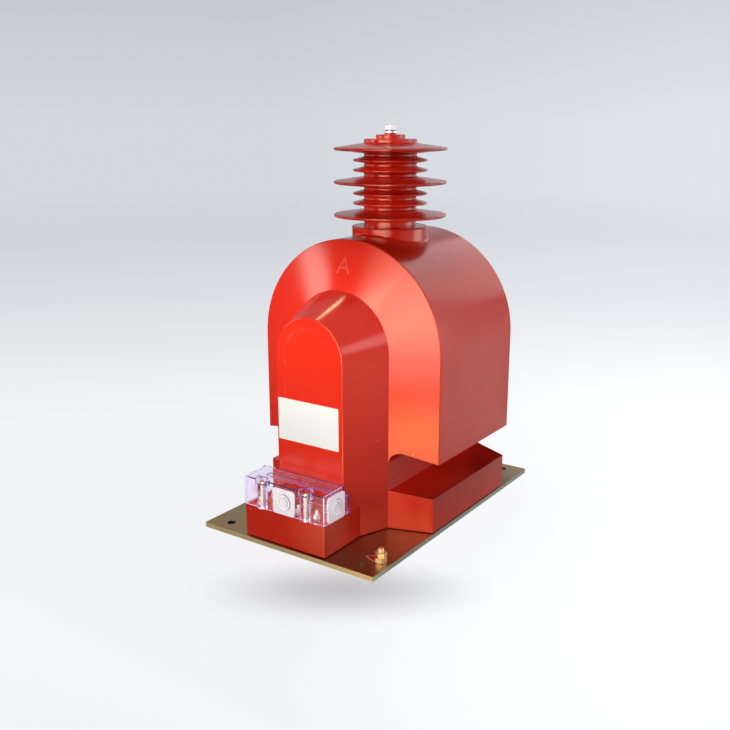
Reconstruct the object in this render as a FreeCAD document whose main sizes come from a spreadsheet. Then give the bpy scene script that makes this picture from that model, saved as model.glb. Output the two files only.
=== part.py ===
import FreeCAD, Part
import math
import os
import Sketcher
from FreeCAD import Placement, Rotation, Vector

# Cast-resin voltage transformer with one shedded bushing, an earthed
# primary and a boxed row of secondary terminals, on a steel base plate.
# Millimetres. X runs across the front, Y from front to back, Z up.
# The origin is the centre of the plate's underside.

SIZES = {
    # Base plate
    "plate_width": 340,
    "plate_length": 530,
    "plate_thickness": 8,
    "plate_corner_radius": 2,
    "mount_hole_radius": 7,
    "mount_side_margin": 37,
    "mount_end_margin": 24,
    # Casting: arches on one common axis, joined front to back by straight rulings
    "axis_height": 301,
    "standoff": 1.5,
    "winding_radius": 176,
    "winding_front": -86,
    "winding_length": 246,
    "web_radius": 96.5,
    "cone_depth": 26,
    "column_radius": 65.5,
    "column_depth": 82.5,
    "rear_column_radius": 72,
    "rear_column_depth": 66,
    "winding_underside": 128,
    "underside_angle": 13,
    "web_fillet": 20,
    "pedestal_half_width": 169,
    "pedestal_height": 68,
    "pedestal_angle": 5.4,
    "winding_edge_radius": 2,
    "column_edge_radius": 2.5,
    # Terminal tray, cast on the foot of the front column
    "tray_centre": -3,
    "tray_width": 160,
    "tray_front": -260,
    "tray_rim": 62,
    "tray_rim_width": 5,
    "tray_recess": 3,
    "tray_edge_radius": 3,
    # Bushing
    "collar_radius": 65,
    "collar_rise": 11.3,
    "collar_edge_radius": 2.5,
    "collar_foot_radius": 3,
    "trunk_radius": 44.4,
    "large_shed_radius": 95.5,
    "large_shed_rim": 5,
    "large_root_above": 9.5,
    "large_root_below": 7.5,
    "small_shed_radius": 63,
    "small_shed_rim": 3.6,
    "small_root_above": 6.3,
    "small_root_below": 4.8,
    "shed_root_radius": 2.2,
    "lowest_shed_rise": 18,
    "shed_pitch": 54.7,
    "first_small_rise": 19.9,
    "second_small_rise": 36.1,
    "shoulder_height": 16,
    "cap_radius": 24.8,
    "cap_height": 7.1,
    "nipple_radius": 10.2,
    "nipple_height": 3,
    "cap_edge_radius": 1.5,
    # Core: two C halves, their loop upright along Y, held by a steel band
    "core_width": 80,
    "core_build": 55,
    "core_inner_radius": 5,
    "core_front_cover": 20,
    "core_rear_cover": 12,
    "core_floor_cover": 14,
    "band_width": 20,
    "band_thickness": 1,
    # Windings around the core's top limb
    "former_bore": 50.5,
    "former_wall": 3,
    "former_length": 222,
    "secondary_length": 210,
    "measuring_coil_wall": 6,
    "metering_coil_wall": 5,
    "residual_coil_wall": 5,
    "primary_bore": 80,
    "primary_step_height": 22,
    "primary_length": 188,
    "primary_step_length": 48,
    "shield_wall": 2.5,
    "shield_overhang": 5,
    "shield_gap_angle": 10,
    # High-voltage terminal
    "hv_lead_radius": 5,
    "hv_insert_radius": 9,
    "hv_insert_length": 30,
    "hv_anchor_radius": 13,
    "hv_anchor_height": 10,
    "hv_thread_radius": 6,
    "hv_thread_depth": 24,
    "hv_washer_radius": 11.5,
    "hv_washer_thickness": 2,
    "hv_spring_radius": 9.5,
    "hv_spring_thickness": 2.5,
    "hv_spring_slot": 1.6,
    "hv_bolt_flats": 18,
    "hv_bolt_head": 8.5,
    "hv_bolt_length": 22,
    # Fits and fasteners in general
    "thread_clearance": 0.1,
    "washer_clearance": 0.3,
    "nut_face_share": 0.47,
    # Secondary terminals, two rows of studs in the tray
    "terminal_spacing": 36,
    "terminal_row_spacing": 26,
    "terminal_row_middle": -229.5,
    "terminal_thread_radius": 3,
    "terminal_collar_radius": 6,
    "terminal_collar_length": 16,
    "terminal_rise": 19,
    "terminal_nut_flats": 10,
    "terminal_nut_height": 5,
    "terminal_washer_radius": 6.3,
    "terminal_washer_thickness": 1.6,
    # Secondary leads down the front column
    "lead_radius": 1.5,
    "lead_bend_radius": 6,
    "lead_level": 24,
    "lead_level_step": 6,
    "lead_inner_place": 50,
    "lead_outer_place": 57.5,
    "lead_front_cover": 10.5,
    "lead_row_step": 6,
    "lead_start_drop": 27,
    "lead_start_step": 9,
    "core_lead_height": 200,
    "core_lead_place": -153.5,
    # Clear terminal cover
    "cover_height": 49.3,
    "cover_front_height": 48.3,
    "cover_depth": 53,
    "cover_flange_height": 31,
    "cover_wall": 2.5,
    "cover_edge_radius": 1.2,
    "cover_seam": 0.2,
    "cover_screw_left": -48.5,
    "cover_screw_right": 38.3,
    "cover_screw_inset": 4.5,
    "cover_post_radius": 8.5,
    "cover_hole_radius": 2.4,
    "cover_well_radius": 10,
    "cover_well_depth": 8,
    "cover_screw_radius": 2,
    "cover_head_radius": 4,
    "cover_head_height": 4,
    "cover_slot_width": 1.1,
    "cover_slot_depth": 1.5,
    "cover_insert_radius": 3,
    "cover_insert_length": 16,
    # Cable entry plugs pushed into three walls of the cover
    "plug_width": 43,
    "plug_height": 42,
    "plug_flange": 2,
    "plug_corner_radius": 5,
    "plug_spigot_radius": 13.5,
    "plug_spigot_depth": 4,
    "plug_fit": 0.25,
    "plug_rise": 22,
    "plug_place": -1,
    "plug_side_inset": 30,
    "plug_ring_radius": 14,
    "plug_ring_pitch": 4.5,
    "plug_ring_width": 1.6,
    "plug_ring_height": 0.9,
    # Nameplate, left blank
    "nameplate_width": 120,
    "nameplate_height": 70,
    "nameplate_thickness": 1,
    "nameplate_shift": -2,
    "nameplate_middle": 194.5,
    "nameplate_corner_radius": 1.5,
    # Screws from below into inserts in the pedestal
    "body_screw_side_margin": 44,
    "body_screw_end_margin": 36,
    "body_screw_radius": 6,
    "body_screw_head_radius": 12,
    "body_screw_sink": 0.5,
    "body_screw_length": 30,
    "body_hole_radius": 6.6,
    "body_insert_radius": 11,
    "body_insert_length": 34,
    "body_foot_radius": 20,
    # Earth stud
    "earth_stud_side_margin": 18,
    "earth_stud_front_margin": 48.5,
    "earth_stud_radius": 5,
    "earth_stud_sink": 0.5,
    "earth_stud_top": 31,
    "earth_nut_flats": 17,
    "earth_nut_height": 8.2,
    "earth_lock_nut_turn": 12,
    "earth_clamp_nut_turn": 35,
}

doc = FreeCAD.newDocument("voltage_transformer")


# Sizes and formulas

class Size:
    """A length with the sheet formula that gives it."""

    def __init__(self, value, formula):
        self.value = value
        self.formula = formula

    def __add__(self, other):
        return combined(self, "+", other, self.value + value_of(other))

    def __radd__(self, other):
        return combined(other, "+", self, value_of(other) + self.value)

    def __sub__(self, other):
        return combined(self, "-", other, self.value - value_of(other))

    def __rsub__(self, other):
        return combined(other, "-", self, value_of(other) - self.value)

    def __mul__(self, other):
        return combined(self, "*", other, self.value * value_of(other))

    def __rmul__(self, other):
        return combined(other, "*", self, value_of(other) * self.value)

    def __truediv__(self, other):
        return combined(self, "/", other, self.value / value_of(other))

    def __neg__(self):
        return combined(0, "-", self, -self.value)


def value_of(size):
    return size.value if isinstance(size, Size) else float(size)


def formula_of(size):
    return size.formula if isinstance(size, Size) else repr(float(size))


def combined(left, sign, right, value):
    return Size(value, f"({formula_of(left)} {sign} {formula_of(right)})")


def sine(degrees):
    return Size(math.sin(math.radians(value_of(degrees))), f"sin({formula_of(degrees)} * 1 deg)")


def root_of(size):
    return Size(math.sqrt(value_of(size)), f"sqrt({formula_of(size)})")


def cosine(degrees):
    return Size(math.cos(math.radians(value_of(degrees))), f"cos({formula_of(degrees)} * 1 deg)")


def tangent(degrees):
    return Size(math.tan(math.radians(value_of(degrees))), f"tan({formula_of(degrees)} * 1 deg)")


def fill_sheet():
    sheet = doc.addObject("Spreadsheet::Sheet", "Sizes")
    sizes = {}
    for row, (name, value) in enumerate(SIZES.items(), start=1):
        sheet.set(f"A{row}", name)
        sheet.set(f"B{row}", str(value))
        sheet.setAlias(f"B{row}", name)
        sizes[name] = Size(float(value), f"Sizes.{name}")
    doc.recompute()
    return sizes


s = fill_sheet()


def bind(thing, path, size):
    thing.setExpression(path, formula_of(size))


# Sketches

def sketch_on(body, name, plane, level=0, shift=0, rise=0):
    """A sketch on an origin plane of the body, at a level along that plane's axis."""
    sketch = body.newObject("Sketcher::SketchObject", name)
    support = [feature for feature in body.Origin.OriginFeatures if feature.Role == plane][0]
    sketch.AttachmentSupport = [(support, "")]
    sketch.MapMode = "FlatFace"
    bind(sketch, "AttachmentOffset.Base.x", shift)
    bind(sketch, "AttachmentOffset.Base.y", rise)
    bind(sketch, "AttachmentOffset.Base.z", 0 - level if plane == "XZ_Plane" else level)
    return sketch


def hold(sketch, kind, axis, geometry, point, size):
    """Holds one coordinate of a point, from the sketch's origin."""
    if isinstance(size, Size):
        number = sketch.addConstraint(Sketcher.Constraint(kind, -1, 1, geometry, point, size.value))
        sketch.setExpression(f"Constraints[{number}]", size.formula)
    else:
        sketch.addConstraint(Sketcher.Constraint("PointOnObject", geometry, point, axis))


def hold_point(sketch, geometry, point, x, y):
    hold(sketch, "DistanceX", -2, geometry, point, x)
    hold(sketch, "DistanceY", -1, geometry, point, y)


def add_arc(sketch, start, end, centre, turn):
    """Adds an arc and gives its number, start point and end point, in the order drawn."""
    first, last = (start, end) if turn == "left" else (end, start)
    angles = [math.atan2(point[1] - centre[1], point[0] - centre[0]) for point in (first, last)]
    if angles[1] <= angles[0]:
        angles[1] += 2 * math.pi
    circle = Part.Circle(Vector(*centre, 0), Vector(0, 0, 1), math.dist(start, centre))
    number = sketch.addGeometry(Part.ArcOfCircle(circle, *angles))
    return (number, 1, 2) if turn == "left" else (number, 2, 1)


def closed_profile(sketch, steps):
    """Closes a profile through its corners.

    A corner is (x, y) where a line leads to it, and (x, y, centre x, centre y,
    turn) where an arc does. A plain 0 puts the point on the sketch's axis.
    """
    ends = [(value_of(step[0]), value_of(step[1])) for step in steps]
    pieces = []
    for index, step in enumerate(steps):
        start, end = ends[index - 1], ends[index]
        if len(step) == 2:
            line = Part.LineSegment(Vector(*start, 0), Vector(*end, 0))
            pieces.append((sketch.addGeometry(line), 1, 2))
        else:
            centre = (value_of(step[2]), value_of(step[3]))
            pieces.append(add_arc(sketch, start, end, centre, step[4]))
    for index, (step, piece) in enumerate(zip(steps, pieces)):
        before = pieces[index - 1]
        sketch.addConstraint(Sketcher.Constraint("Coincident", before[0], before[2], piece[0], piece[1]))
        hold_point(sketch, piece[0], piece[2], step[0], step[1])
        if len(step) == 5:
            hold_centre(sketch, piece[0], step, ends[index - 1], ends[index])


def hold_centre(sketch, arc, step, start, end):
    """Fixes what is left open once both ends of an arc are held."""
    if abs(end[0] - start[0]) > abs(end[1] - start[1]):
        hold(sketch, "DistanceY", -1, arc, 3, step[3])
    else:
        hold(sketch, "DistanceX", -2, arc, 3, step[2])


def circle_in(sketch, x, y, radius):
    circle = Part.Circle(Vector(value_of(x), value_of(y), 0), Vector(0, 0, 1), value_of(radius))
    number = sketch.addGeometry(circle)
    hold_point(sketch, number, 3, x, y)
    held = sketch.addConstraint(Sketcher.Constraint("Radius", number, value_of(radius)))
    sketch.setExpression(f"Constraints[{held}]", formula_of(radius))


def rectangle_in(sketch, left, right, low, high):
    closed_profile(sketch, [(left, low), (right, low), (right, high), (left, high)])


def arch_in(sketch, radius, floor):
    """An arch that stands on the floor level, round about the common axis."""
    closed_profile(sketch, [
        (-radius, floor),
        (radius, floor),
        (radius, s["axis_height"]),
        (-radius, s["axis_height"], 0, s["axis_height"], "left"),
    ])


# Part Design features

def new_body(label):
    body = doc.addObject("PartDesign::Body", label)
    body.Label = label
    return body


def feature_from(body, kind, name, sketch, length=None, **settings):
    feature = body.newObject(f"PartDesign::{kind}", name)
    feature.Profile = sketch
    for setting, value in settings.items():
        setattr(feature, setting, value)
    if length is not None:
        bind(feature, "Length", length)
    doc.recompute()
    return feature


def ruled_loft(body, name, sketches):
    loft = body.newObject("PartDesign::AdditiveLoft", name)
    loft.Profile = sketches[0]
    loft.Sections = sketches[1:]
    loft.Ruled = True
    doc.recompute()
    return loft


def revolved(body, name, sketch, axis="V_Axis", angle=360, centred=False):
    turned = body.newObject("PartDesign::Revolution", name)
    turned.Profile = sketch
    turned.ReferenceAxis = (sketch, [axis])
    turned.Midplane = centred
    bind(turned, "Angle", angle)
    doc.recompute()
    return turned


def dressed(body, kind, name, path, size, chosen):
    """A fillet or chamfer on the edges of the body's last feature that the test chooses."""
    base = body.Tip
    names = [f"Edge{number}" for number, edge in enumerate(base.Shape.Edges, start=1) if chosen(edge)]
    finish = body.newObject(f"PartDesign::{kind}", name)
    finish.Base = (base, names)
    bind(finish, path, size)
    doc.recompute()
    return finish


def lies_at(edge, **places):
    """True if the whole edge lies at the places given, such as x=size."""
    middle = edge.valueAt((edge.FirstParameter + edge.LastParameter) / 2)
    points = [vertex.Point for vertex in edge.Vertexes] + [middle]
    return all(
        abs(getattr(point, axis) - value_of(place)) < 0.01
        for point in points
        for axis, place in places.items()
    )


def is_upright(edge):
    ends = [vertex.Point for vertex in edge.Vertexes]
    return len(ends) == 2 and math.dist(ends[0][:2], ends[1][:2]) < 0.01


# Part primitives and booleans

def solid(kind, name, place, **sizes):
    """A Part primitive with its sizes and place bound to the sheet."""
    made = doc.addObject(f"Part::{kind}", name)
    for path, size in sizes.items():
        bind(made, path, size)
    for axis, size in zip("xyz", place):
        bind(made, f"Placement.Base.{axis}", size)
    return made


def cylinder(name, place, radius, height):
    return solid("Cylinder", name, place, Radius=radius, Height=height)


def block(name, low, high):
    """A box between two opposite corners."""
    spans = [after - before for before, after in zip(low, high)]
    return solid("Box", name, low, Length=spans[0], Width=spans[1], Height=spans[2])


def hexagon(name, place, flats, height, turn=0, both_ends=False):
    """A hexagonal prism, its corners turned to a 30 degree chamfer on top or at both ends."""
    face_radius = flats * s["nut_face_share"]
    prism = solid("Prism", f"{name}_prism", place, Circumradius=flats / (2 * cosine(30)), Height=height)
    prism.Polygon = 6
    bind(prism, "Placement.Rotation.Angle", turn)
    skirt_radius = face_radius + height / tangent(30)
    shapes = [solid("Cone", f"{name}_turned", place, Radius1=skirt_radius, Radius2=face_radius, Height=height)]
    if both_ends:
        shapes.append(solid(
            "Cone", f"{name}_turned_below", place, Radius1=face_radius, Radius2=skirt_radius, Height=height
        ))
    common = doc.addObject("Part::MultiCommon", name)
    common.Shapes = [prism] + shapes
    return common


def fused(label, shapes):
    """Shapes joined into one, or kept as a group where they don't touch."""
    if len(shapes) == 1:
        return shapes[0]
    joint = doc.addObject("Part::MultiFuse", label)
    joint.Label = label
    joint.Shapes = shapes
    return joint


def cut(label, base, tool):
    made = doc.addObject("Part::Cut", label)
    made.Label = label
    made.Base = base
    made.Tool = tool
    return made


def rings(label, places, radius, bore, height):
    """Washers at each of the places, as one group."""
    discs = [cylinder(f"{label}_disc_{n}", place, radius, height) for n, place in enumerate(places)]
    holes = [cylinder(f"{label}_hole_{n}", place, bore, height) for n, place in enumerate(places)]
    return cut(label, fused(f"{label}_discs", discs), fused(f"{label}_holes", holes))


def nuts(label, places, flats, bore, height, **finish):
    """Hexagon nuts at each of the places, as one group."""
    bodies = [hexagon(f"{label}_body_{n}", place, flats, height, **finish) for n, place in enumerate(places)]
    holes = [cylinder(f"{label}_hole_{n}", place, bore, height) for n, place in enumerate(places)]
    return cut(label, fused(f"{label}_bodies", bodies), fused(f"{label}_holes", holes))


# Levels and places that several pieces share

casting_floor = s["plate_thickness"] + s["standoff"]
front_junction = s["winding_front"] - s["cone_depth"]
column_front = front_junction - s["column_depth"]
winding_rear = s["winding_front"] + s["winding_length"]
winding_middle = s["winding_front"] + s["winding_length"] / 2
rear_junction = winding_rear + s["cone_depth"]
column_rear = rear_junction + s["rear_column_depth"]
tray_left = s["tray_centre"] - s["tray_width"] / 2
tray_right = s["tray_centre"] + s["tray_width"] / 2
tray_floor = s["tray_rim"] - s["tray_recess"]
collar_top = s["axis_height"] + s["winding_radius"] + s["collar_rise"]
top_shed = collar_top + s["lowest_shed_rise"] + s["shed_pitch"] * 2
shoulder = top_shed + s["shoulder_height"]
hv_face = shoulder + s["cap_height"] + s["nipple_height"]
thread_gap = s["thread_clearance"]
terminal_places = [
    (
        s["tray_centre"] + (column - 1.5) * s["terminal_spacing"],
        s["terminal_row_middle"] + (row - 0.5) * s["terminal_row_spacing"],
    )
    for row in (0, 1)
    for column in (0, 1, 2, 3)
]
mount_across = s["plate_width"] / 2 - s["mount_side_margin"]
mount_along = s["plate_length"] / 2 - s["mount_end_margin"]
earth_across = s["plate_width"] / 2 - s["earth_stud_side_margin"]
earth_along = s["earth_stud_front_margin"] - s["plate_length"] / 2
body_screw_across = s["pedestal_half_width"] - s["body_screw_side_margin"]
body_screw_along = s["winding_length"] / 2 - s["body_screw_end_margin"]
body_screw_places = [
    (side * body_screw_across, winding_middle + end * body_screw_along)
    for side in (-1, 1)
    for end in (-1, 1)
]
cover_front = s["tray_front"]
cover_foot = s["tray_rim"] + s["cover_seam"]
cover_screw_line = cover_front + s["cover_screw_inset"]
cover_ledge = s["tray_rim"] + s["cover_front_height"] - s["cover_well_depth"]
cover_screw_places = [(s["cover_screw_left"], cover_screw_line), (s["cover_screw_right"], cover_screw_line)]


# Base plate

def base_plate():
    body = new_body("base_plate")
    outline = sketch_on(body, "plate_outline", "XY_Plane")
    half_width, half_length = s["plate_width"] / 2, s["plate_length"] / 2
    rectangle_in(outline, -half_width, half_width, -half_length, half_length)
    feature_from(body, "Pad", "plate_sheet", outline, s["plate_thickness"])
    dressed(body, "Fillet", "plate_corners", "Radius", s["plate_corner_radius"], is_upright)
    holes = sketch_on(body, "plate_holes", "XY_Plane", s["plate_thickness"])
    for side in (-1, 1):
        for end in (-1, 1):
            circle_in(holes, side * mount_across, end * mount_along, s["mount_hole_radius"])
    for across, along in body_screw_places:
        circle_in(holes, across, along, s["body_hole_radius"])
    stud_bore = s["earth_stud_radius"] + thread_gap
    circle_in(holes, earth_across, earth_along, stud_bore)
    feature_from(body, "Pocket", "plate_drilling", holes, Type="ThroughAll")
    bore = value_of(s["body_hole_radius"])
    countersink = s["body_screw_head_radius"] - s["body_hole_radius"]
    dressed(body, "Chamfer", "screw_countersinks", "Size", countersink, lambda edge: (
        lies_at(edge, z=0) and hasattr(edge.Curve, "Radius") and abs(edge.Curve.Radius - bore) < 0.01
    ))
    return body


# Resin casting

def root_curve(rise, side, slope):
    """Tangent points and centre of the radius where a shed's face meets the trunk.

    rise is where the face, run straight, would meet the trunk. side is 1 on
    top of a shed and -1 beneath it, and slope is the fall of the face outwards.
    """
    radius = s["shed_root_radius"]
    length = root_of(slope * slope + 1)
    across = s["trunk_radius"] + radius
    centre = (across, rise + side * (radius * length - radius * slope))
    on_face = (across - radius * slope / length, centre[1] - side * radius / length)
    return on_face, (s["trunk_radius"], centre[1]), centre


def shed_steps(rim_height, radius, rim, above, below):
    """One shed of the bushing, from its root's underside to its top."""
    edge, half_rim = radius - rim / 2, rim / 2
    under_slope = (below - half_rim) / (edge - s["trunk_radius"])
    upper_slope = (above - half_rim) / (edge - s["trunk_radius"])
    under, under_trunk, under_centre = root_curve(rim_height - below, -1, under_slope)
    upper, upper_trunk, upper_centre = root_curve(rim_height + above, 1, upper_slope)
    return [
        under_trunk,
        (*under, *under_centre, "right"),
        (edge, rim_height - half_rim),
        (edge, rim_height + half_rim, edge, rim_height, "left"),
        upper,
        (*upper_trunk, *upper_centre, "right"),
    ]


def large_shed(rim_height):
    return shed_steps(
        rim_height, s["large_shed_radius"], s["large_shed_rim"], s["large_root_above"], s["large_root_below"]
    )


def small_shed(rim_height):
    return shed_steps(
        rim_height, s["small_shed_radius"], s["small_shed_rim"], s["small_root_above"], s["small_root_below"]
    )


def bushing_steps():
    """The bushing's half section: large sheds with two small ones between, then the cap."""
    start = collar_top - s["collar_edge_radius"] * 2
    steps = [(0, start), (s["trunk_radius"], start)]
    for number in range(2):
        large = collar_top + s["lowest_shed_rise"] + number * s["shed_pitch"]
        steps += large_shed(large)
        steps += small_shed(large + s["first_small_rise"])
        steps += small_shed(large + s["second_small_rise"])
    steps += large_shed(top_shed)
    edge = s["cap_edge_radius"]
    cap_top = shoulder + s["cap_height"]
    steps += [
        (s["trunk_radius"], shoulder - edge),
        (s["trunk_radius"] - edge, shoulder, s["trunk_radius"] - edge, shoulder - edge, "left"),
        (s["cap_radius"], shoulder),
        (s["cap_radius"], cap_top - edge),
        (s["cap_radius"] - edge, cap_top, s["cap_radius"] - edge, cap_top - edge, "left"),
        (s["nipple_radius"], cap_top),
        (s["nipple_radius"], hv_face),
        (0, hv_face),
    ]
    return steps


def side_gap_steps(side):
    """Section of the gap between the winding and the pedestal, on one side."""
    beyond = s["winding_radius"] + s["web_fillet"]
    centre_across = s["web_radius"] + s["web_fillet"]
    slope = tangent(s["underside_angle"])
    centre_height = (
        s["winding_underside"] + (s["winding_radius"] - centre_across) * slope
        - s["web_fillet"] / cosine(s["underside_angle"])
    )
    fillet_across = centre_across + s["web_fillet"] * sine(s["underside_angle"])
    fillet_height = centre_height + s["web_fillet"] * cosine(s["underside_angle"])
    web_foot = s["pedestal_height"] + (s["pedestal_half_width"] - s["web_radius"]) * tangent(s["pedestal_angle"])
    below = casting_floor - s["standoff"]
    turn = "left" if side > 0 else "right"
    return [
        (side * s["pedestal_half_width"], below),
        (side * beyond, below),
        (side * beyond, s["winding_underside"] - (beyond - s["winding_radius"]) * slope),
        (side * fillet_across, fillet_height),
        (side * s["web_radius"], centre_height, side * centre_across, centre_height, turn),
        (side * s["web_radius"], web_foot),
        (side * s["pedestal_half_width"], s["pedestal_height"]),
    ]


def casting():
    body = new_body("casting")
    stations = [
        ("column_front_arch", column_front, s["column_radius"]),
        ("front_junction_arch", front_junction, s["web_radius"]),
        ("winding_front_arch", s["winding_front"], s["winding_radius"]),
        ("winding_rear_arch", winding_rear, s["winding_radius"]),
        ("rear_junction_arch", rear_junction, s["web_radius"]),
        ("column_rear_arch", column_rear, s["rear_column_radius"]),
    ]
    arches = []
    for name, station, radius in stations:
        arches.append(sketch_on(body, name, "XZ_Plane", station))
        arch_in(arches[-1], radius, casting_floor)
    ruled_loft(body, "arches", arches)
    gaps = sketch_on(body, "side_gap_sections", "XZ_Plane", column_front)
    closed_profile(gaps, side_gap_steps(1))
    closed_profile(gaps, side_gap_steps(-1))
    feature_from(body, "Pocket", "side_gaps", gaps, Type="ThroughAll")
    dressed(body, "Fillet", "winding_edges", "Radius", s["winding_edge_radius"], lambda edge: (
        lies_at(edge, y=s["winding_front"]) or lies_at(edge, y=winding_rear)
    ))
    dressed(body, "Fillet", "column_edges", "Radius", s["column_edge_radius"], lambda edge: (
        not lies_at(edge, z=casting_floor)
        and (lies_at(edge, y=column_front) or lies_at(edge, y=column_rear))
    ))
    add_tray(body)
    feet = sketch_on(body, "feet_outline", "XY_Plane", s["plate_thickness"])
    for across, along in body_screw_places:
        circle_in(feet, across, along, s["body_foot_radius"])
    feature_from(body, "Pad", "feet", feet, s["standoff"])
    collar = sketch_on(body, "collar_outline", "XY_Plane", s["axis_height"])
    circle_in(collar, 0, winding_middle, s["collar_radius"])
    feature_from(body, "Pad", "collar", collar, collar_top - s["axis_height"])
    dressed(body, "Fillet", "collar_edge", "Radius", s["collar_edge_radius"], lambda edge: (
        lies_at(edge, z=collar_top)
    ))
    dressed(body, "Fillet", "collar_foot", "Radius", s["collar_foot_radius"], meets_collar)
    section = sketch_on(body, "bushing_section", "YZ_Plane", shift=winding_middle)
    closed_profile(section, bushing_steps())
    revolved(body, "bushing", section)
    return body


def meets_collar(edge):
    """True for the edge where the collar stands on the winding's crown."""
    around = [
        math.hypot(point.x, point.y - value_of(winding_middle)) for point in edge.discretize(9)
    ]
    level = all(abs(reach - value_of(s["collar_radius"])) < 0.01 for reach in around)
    return level and edge.BoundBox.ZLength > 1 and edge.BoundBox.ZMax < value_of(collar_top) - 1


def add_tray(body):
    rear = column_front + s["column_depth"] / 2
    outline = sketch_on(body, "tray_outline", "XY_Plane", casting_floor)
    rectangle_in(outline, tray_left, tray_right, s["tray_front"], rear)
    feature_from(body, "Pad", "tray", outline, s["tray_rim"] - casting_floor)
    dressed(body, "Fillet", "tray_edges", "Radius", s["tray_edge_radius"], lambda edge: (
        is_upright(edge) and abs(edge.Vertexes[0].Point.y - value_of(s["tray_front"])) < 0.01
    ))
    recess = sketch_on(body, "tray_recess_outline", "XY_Plane", s["tray_rim"])
    rim = s["tray_rim_width"]
    rectangle_in(recess, tray_left + rim, tray_right - rim, s["tray_front"] + rim, column_front - rim)
    feature_from(body, "Pocket", "tray_recess", recess, s["tray_recess"])


# Core

def core_half(label, end, side):
    """One C half. end is its outer face along Y, and side is 1 in front and -1 behind."""
    body = new_body(label)
    build, inner = s["core_build"], s["core_inner_radius"]
    outer = build + inner
    face = end + side * build
    top = s["axis_height"] + build / 2
    floor = casting_floor + s["core_floor_cover"]
    turn = "left" if side > 0 else "right"
    back = "right" if side > 0 else "left"
    section = sketch_on(body, f"{label}_section", "YZ_Plane")
    closed_profile(section, [
        (core_middle, top),
        (end + side * outer, top),
        (end, top - outer, end + side * outer, top - outer, turn),
        (end, floor + outer),
        (end + side * outer, floor, end + side * outer, floor + outer, turn),
        (core_middle, floor),
        (core_middle, floor + build),
        (face + side * inner, floor + build),
        (face, floor + build + inner, face + side * inner, floor + build + inner, back),
        (face, top - build - inner),
        (face + side * inner, top - build, face + side * inner, top - build - inner, back),
        (core_middle, top - build),
    ])
    feature_from(body, "Pad", f"{label}_strip", section, s["core_width"], Midplane=True)
    return body


core_front = column_front + s["core_front_cover"]
core_rear = column_rear - s["core_rear_cover"]
core_middle = (core_front + core_rear) / 2


def loop_in(sketch, gap):
    """The core loop's outer outline, a gap outside it."""
    radius = s["core_build"] + s["core_inner_radius"] + gap
    front, rear = core_front - gap, core_rear + gap
    low = casting_floor + s["core_floor_cover"] - gap
    high = s["axis_height"] + s["core_build"] / 2 + gap
    closed_profile(sketch, [
        (rear - radius, low),
        (rear, low + radius, rear - radius, low + radius, "left"),
        (rear, high - radius),
        (rear - radius, high, rear - radius, high - radius, "left"),
        (front + radius, high),
        (front, high - radius, front + radius, high - radius, "left"),
        (front, low + radius),
        (front + radius, low, front + radius, low + radius, "left"),
    ])


def core_band():
    body = new_body("core_band")
    section = sketch_on(body, "band_section", "YZ_Plane")
    loop_in(section, s["band_thickness"])
    loop_in(section, s["thread_clearance"])
    feature_from(body, "Pad", "band_strip", section, s["band_width"], Midplane=True)
    return body


# Windings, turned about the core's top limb

def turned_coil(label, steps, angle=360):
    body = new_body(label)
    section = sketch_on(body, f"{label}_section", "YZ_Plane", shift=winding_middle, rise=s["axis_height"])
    closed_profile(section, steps)
    revolved(body, f"{label}_turns", section, "H_Axis", angle, centred=True)
    return body


def coil_layer(label, bore, wall, length):
    half = length / 2
    return turned_coil(label, [(-half, bore), (half, bore), (half, bore + wall), (-half, bore + wall)])


def primary_coil():
    """Three blocks of layers, each shorter than the one beneath it."""
    bore, height = s["primary_bore"], s["primary_step_height"]
    halves = [(s["primary_length"] - s["primary_step_length"] * step) / 2 for step in range(3)]
    right = []
    left = []
    for step, half in enumerate(halves):
        low, high = bore + height * step, bore + height * (step + 1)
        right += [(half, low), (half, high)]
        left = [(-half, high), (-half, low)] + left
    return turned_coil("primary_coil", right + left)


def primary_shield():
    """A split ring over the outermost layers, open at the bottom."""
    bore = s["primary_bore"] + s["primary_step_height"] * 3
    half = (s["primary_length"] - s["primary_step_length"] * 2) / 2 + s["shield_overhang"]
    top = bore + s["shield_wall"]
    return turned_coil(
        "primary_shield", [(-half, bore), (half, bore), (half, top), (-half, top)], 360 - s["shield_gap_angle"]
    )


# High-voltage terminal

def hv_insert_envelope():
    bottom = hv_face - s["hv_insert_length"]
    return fused("hv_insert_envelope", [
        cylinder("hv_insert_barrel", (0, winding_middle, bottom), s["hv_insert_radius"], s["hv_insert_length"]),
        cylinder("hv_insert_anchor", (0, winding_middle, bottom), s["hv_anchor_radius"], s["hv_anchor_height"]),
    ])


def hv_insert(envelope):
    mouth = (0, winding_middle, hv_face - s["hv_thread_depth"])
    return cut("hv_insert", envelope, cylinder("hv_thread", mouth, s["hv_thread_radius"], s["hv_thread_depth"]))


def hv_lead():
    """Rod from the shield, saddled on its top, up to the insert."""
    seat_radius = s["primary_bore"] + s["primary_step_height"] * 3 + s["shield_wall"]
    top = hv_face - s["hv_insert_length"]
    rod = cylinder("hv_rod", (0, winding_middle, s["axis_height"]), s["hv_lead_radius"], top - s["axis_height"])
    saddle = cylinder("hv_saddle", (0, core_front, s["axis_height"]), seat_radius, core_rear - core_front)
    saddle.Placement.Rotation = Rotation(Vector(1, 0, 0), -90)
    return cut("hv_lead", rod, saddle)


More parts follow.
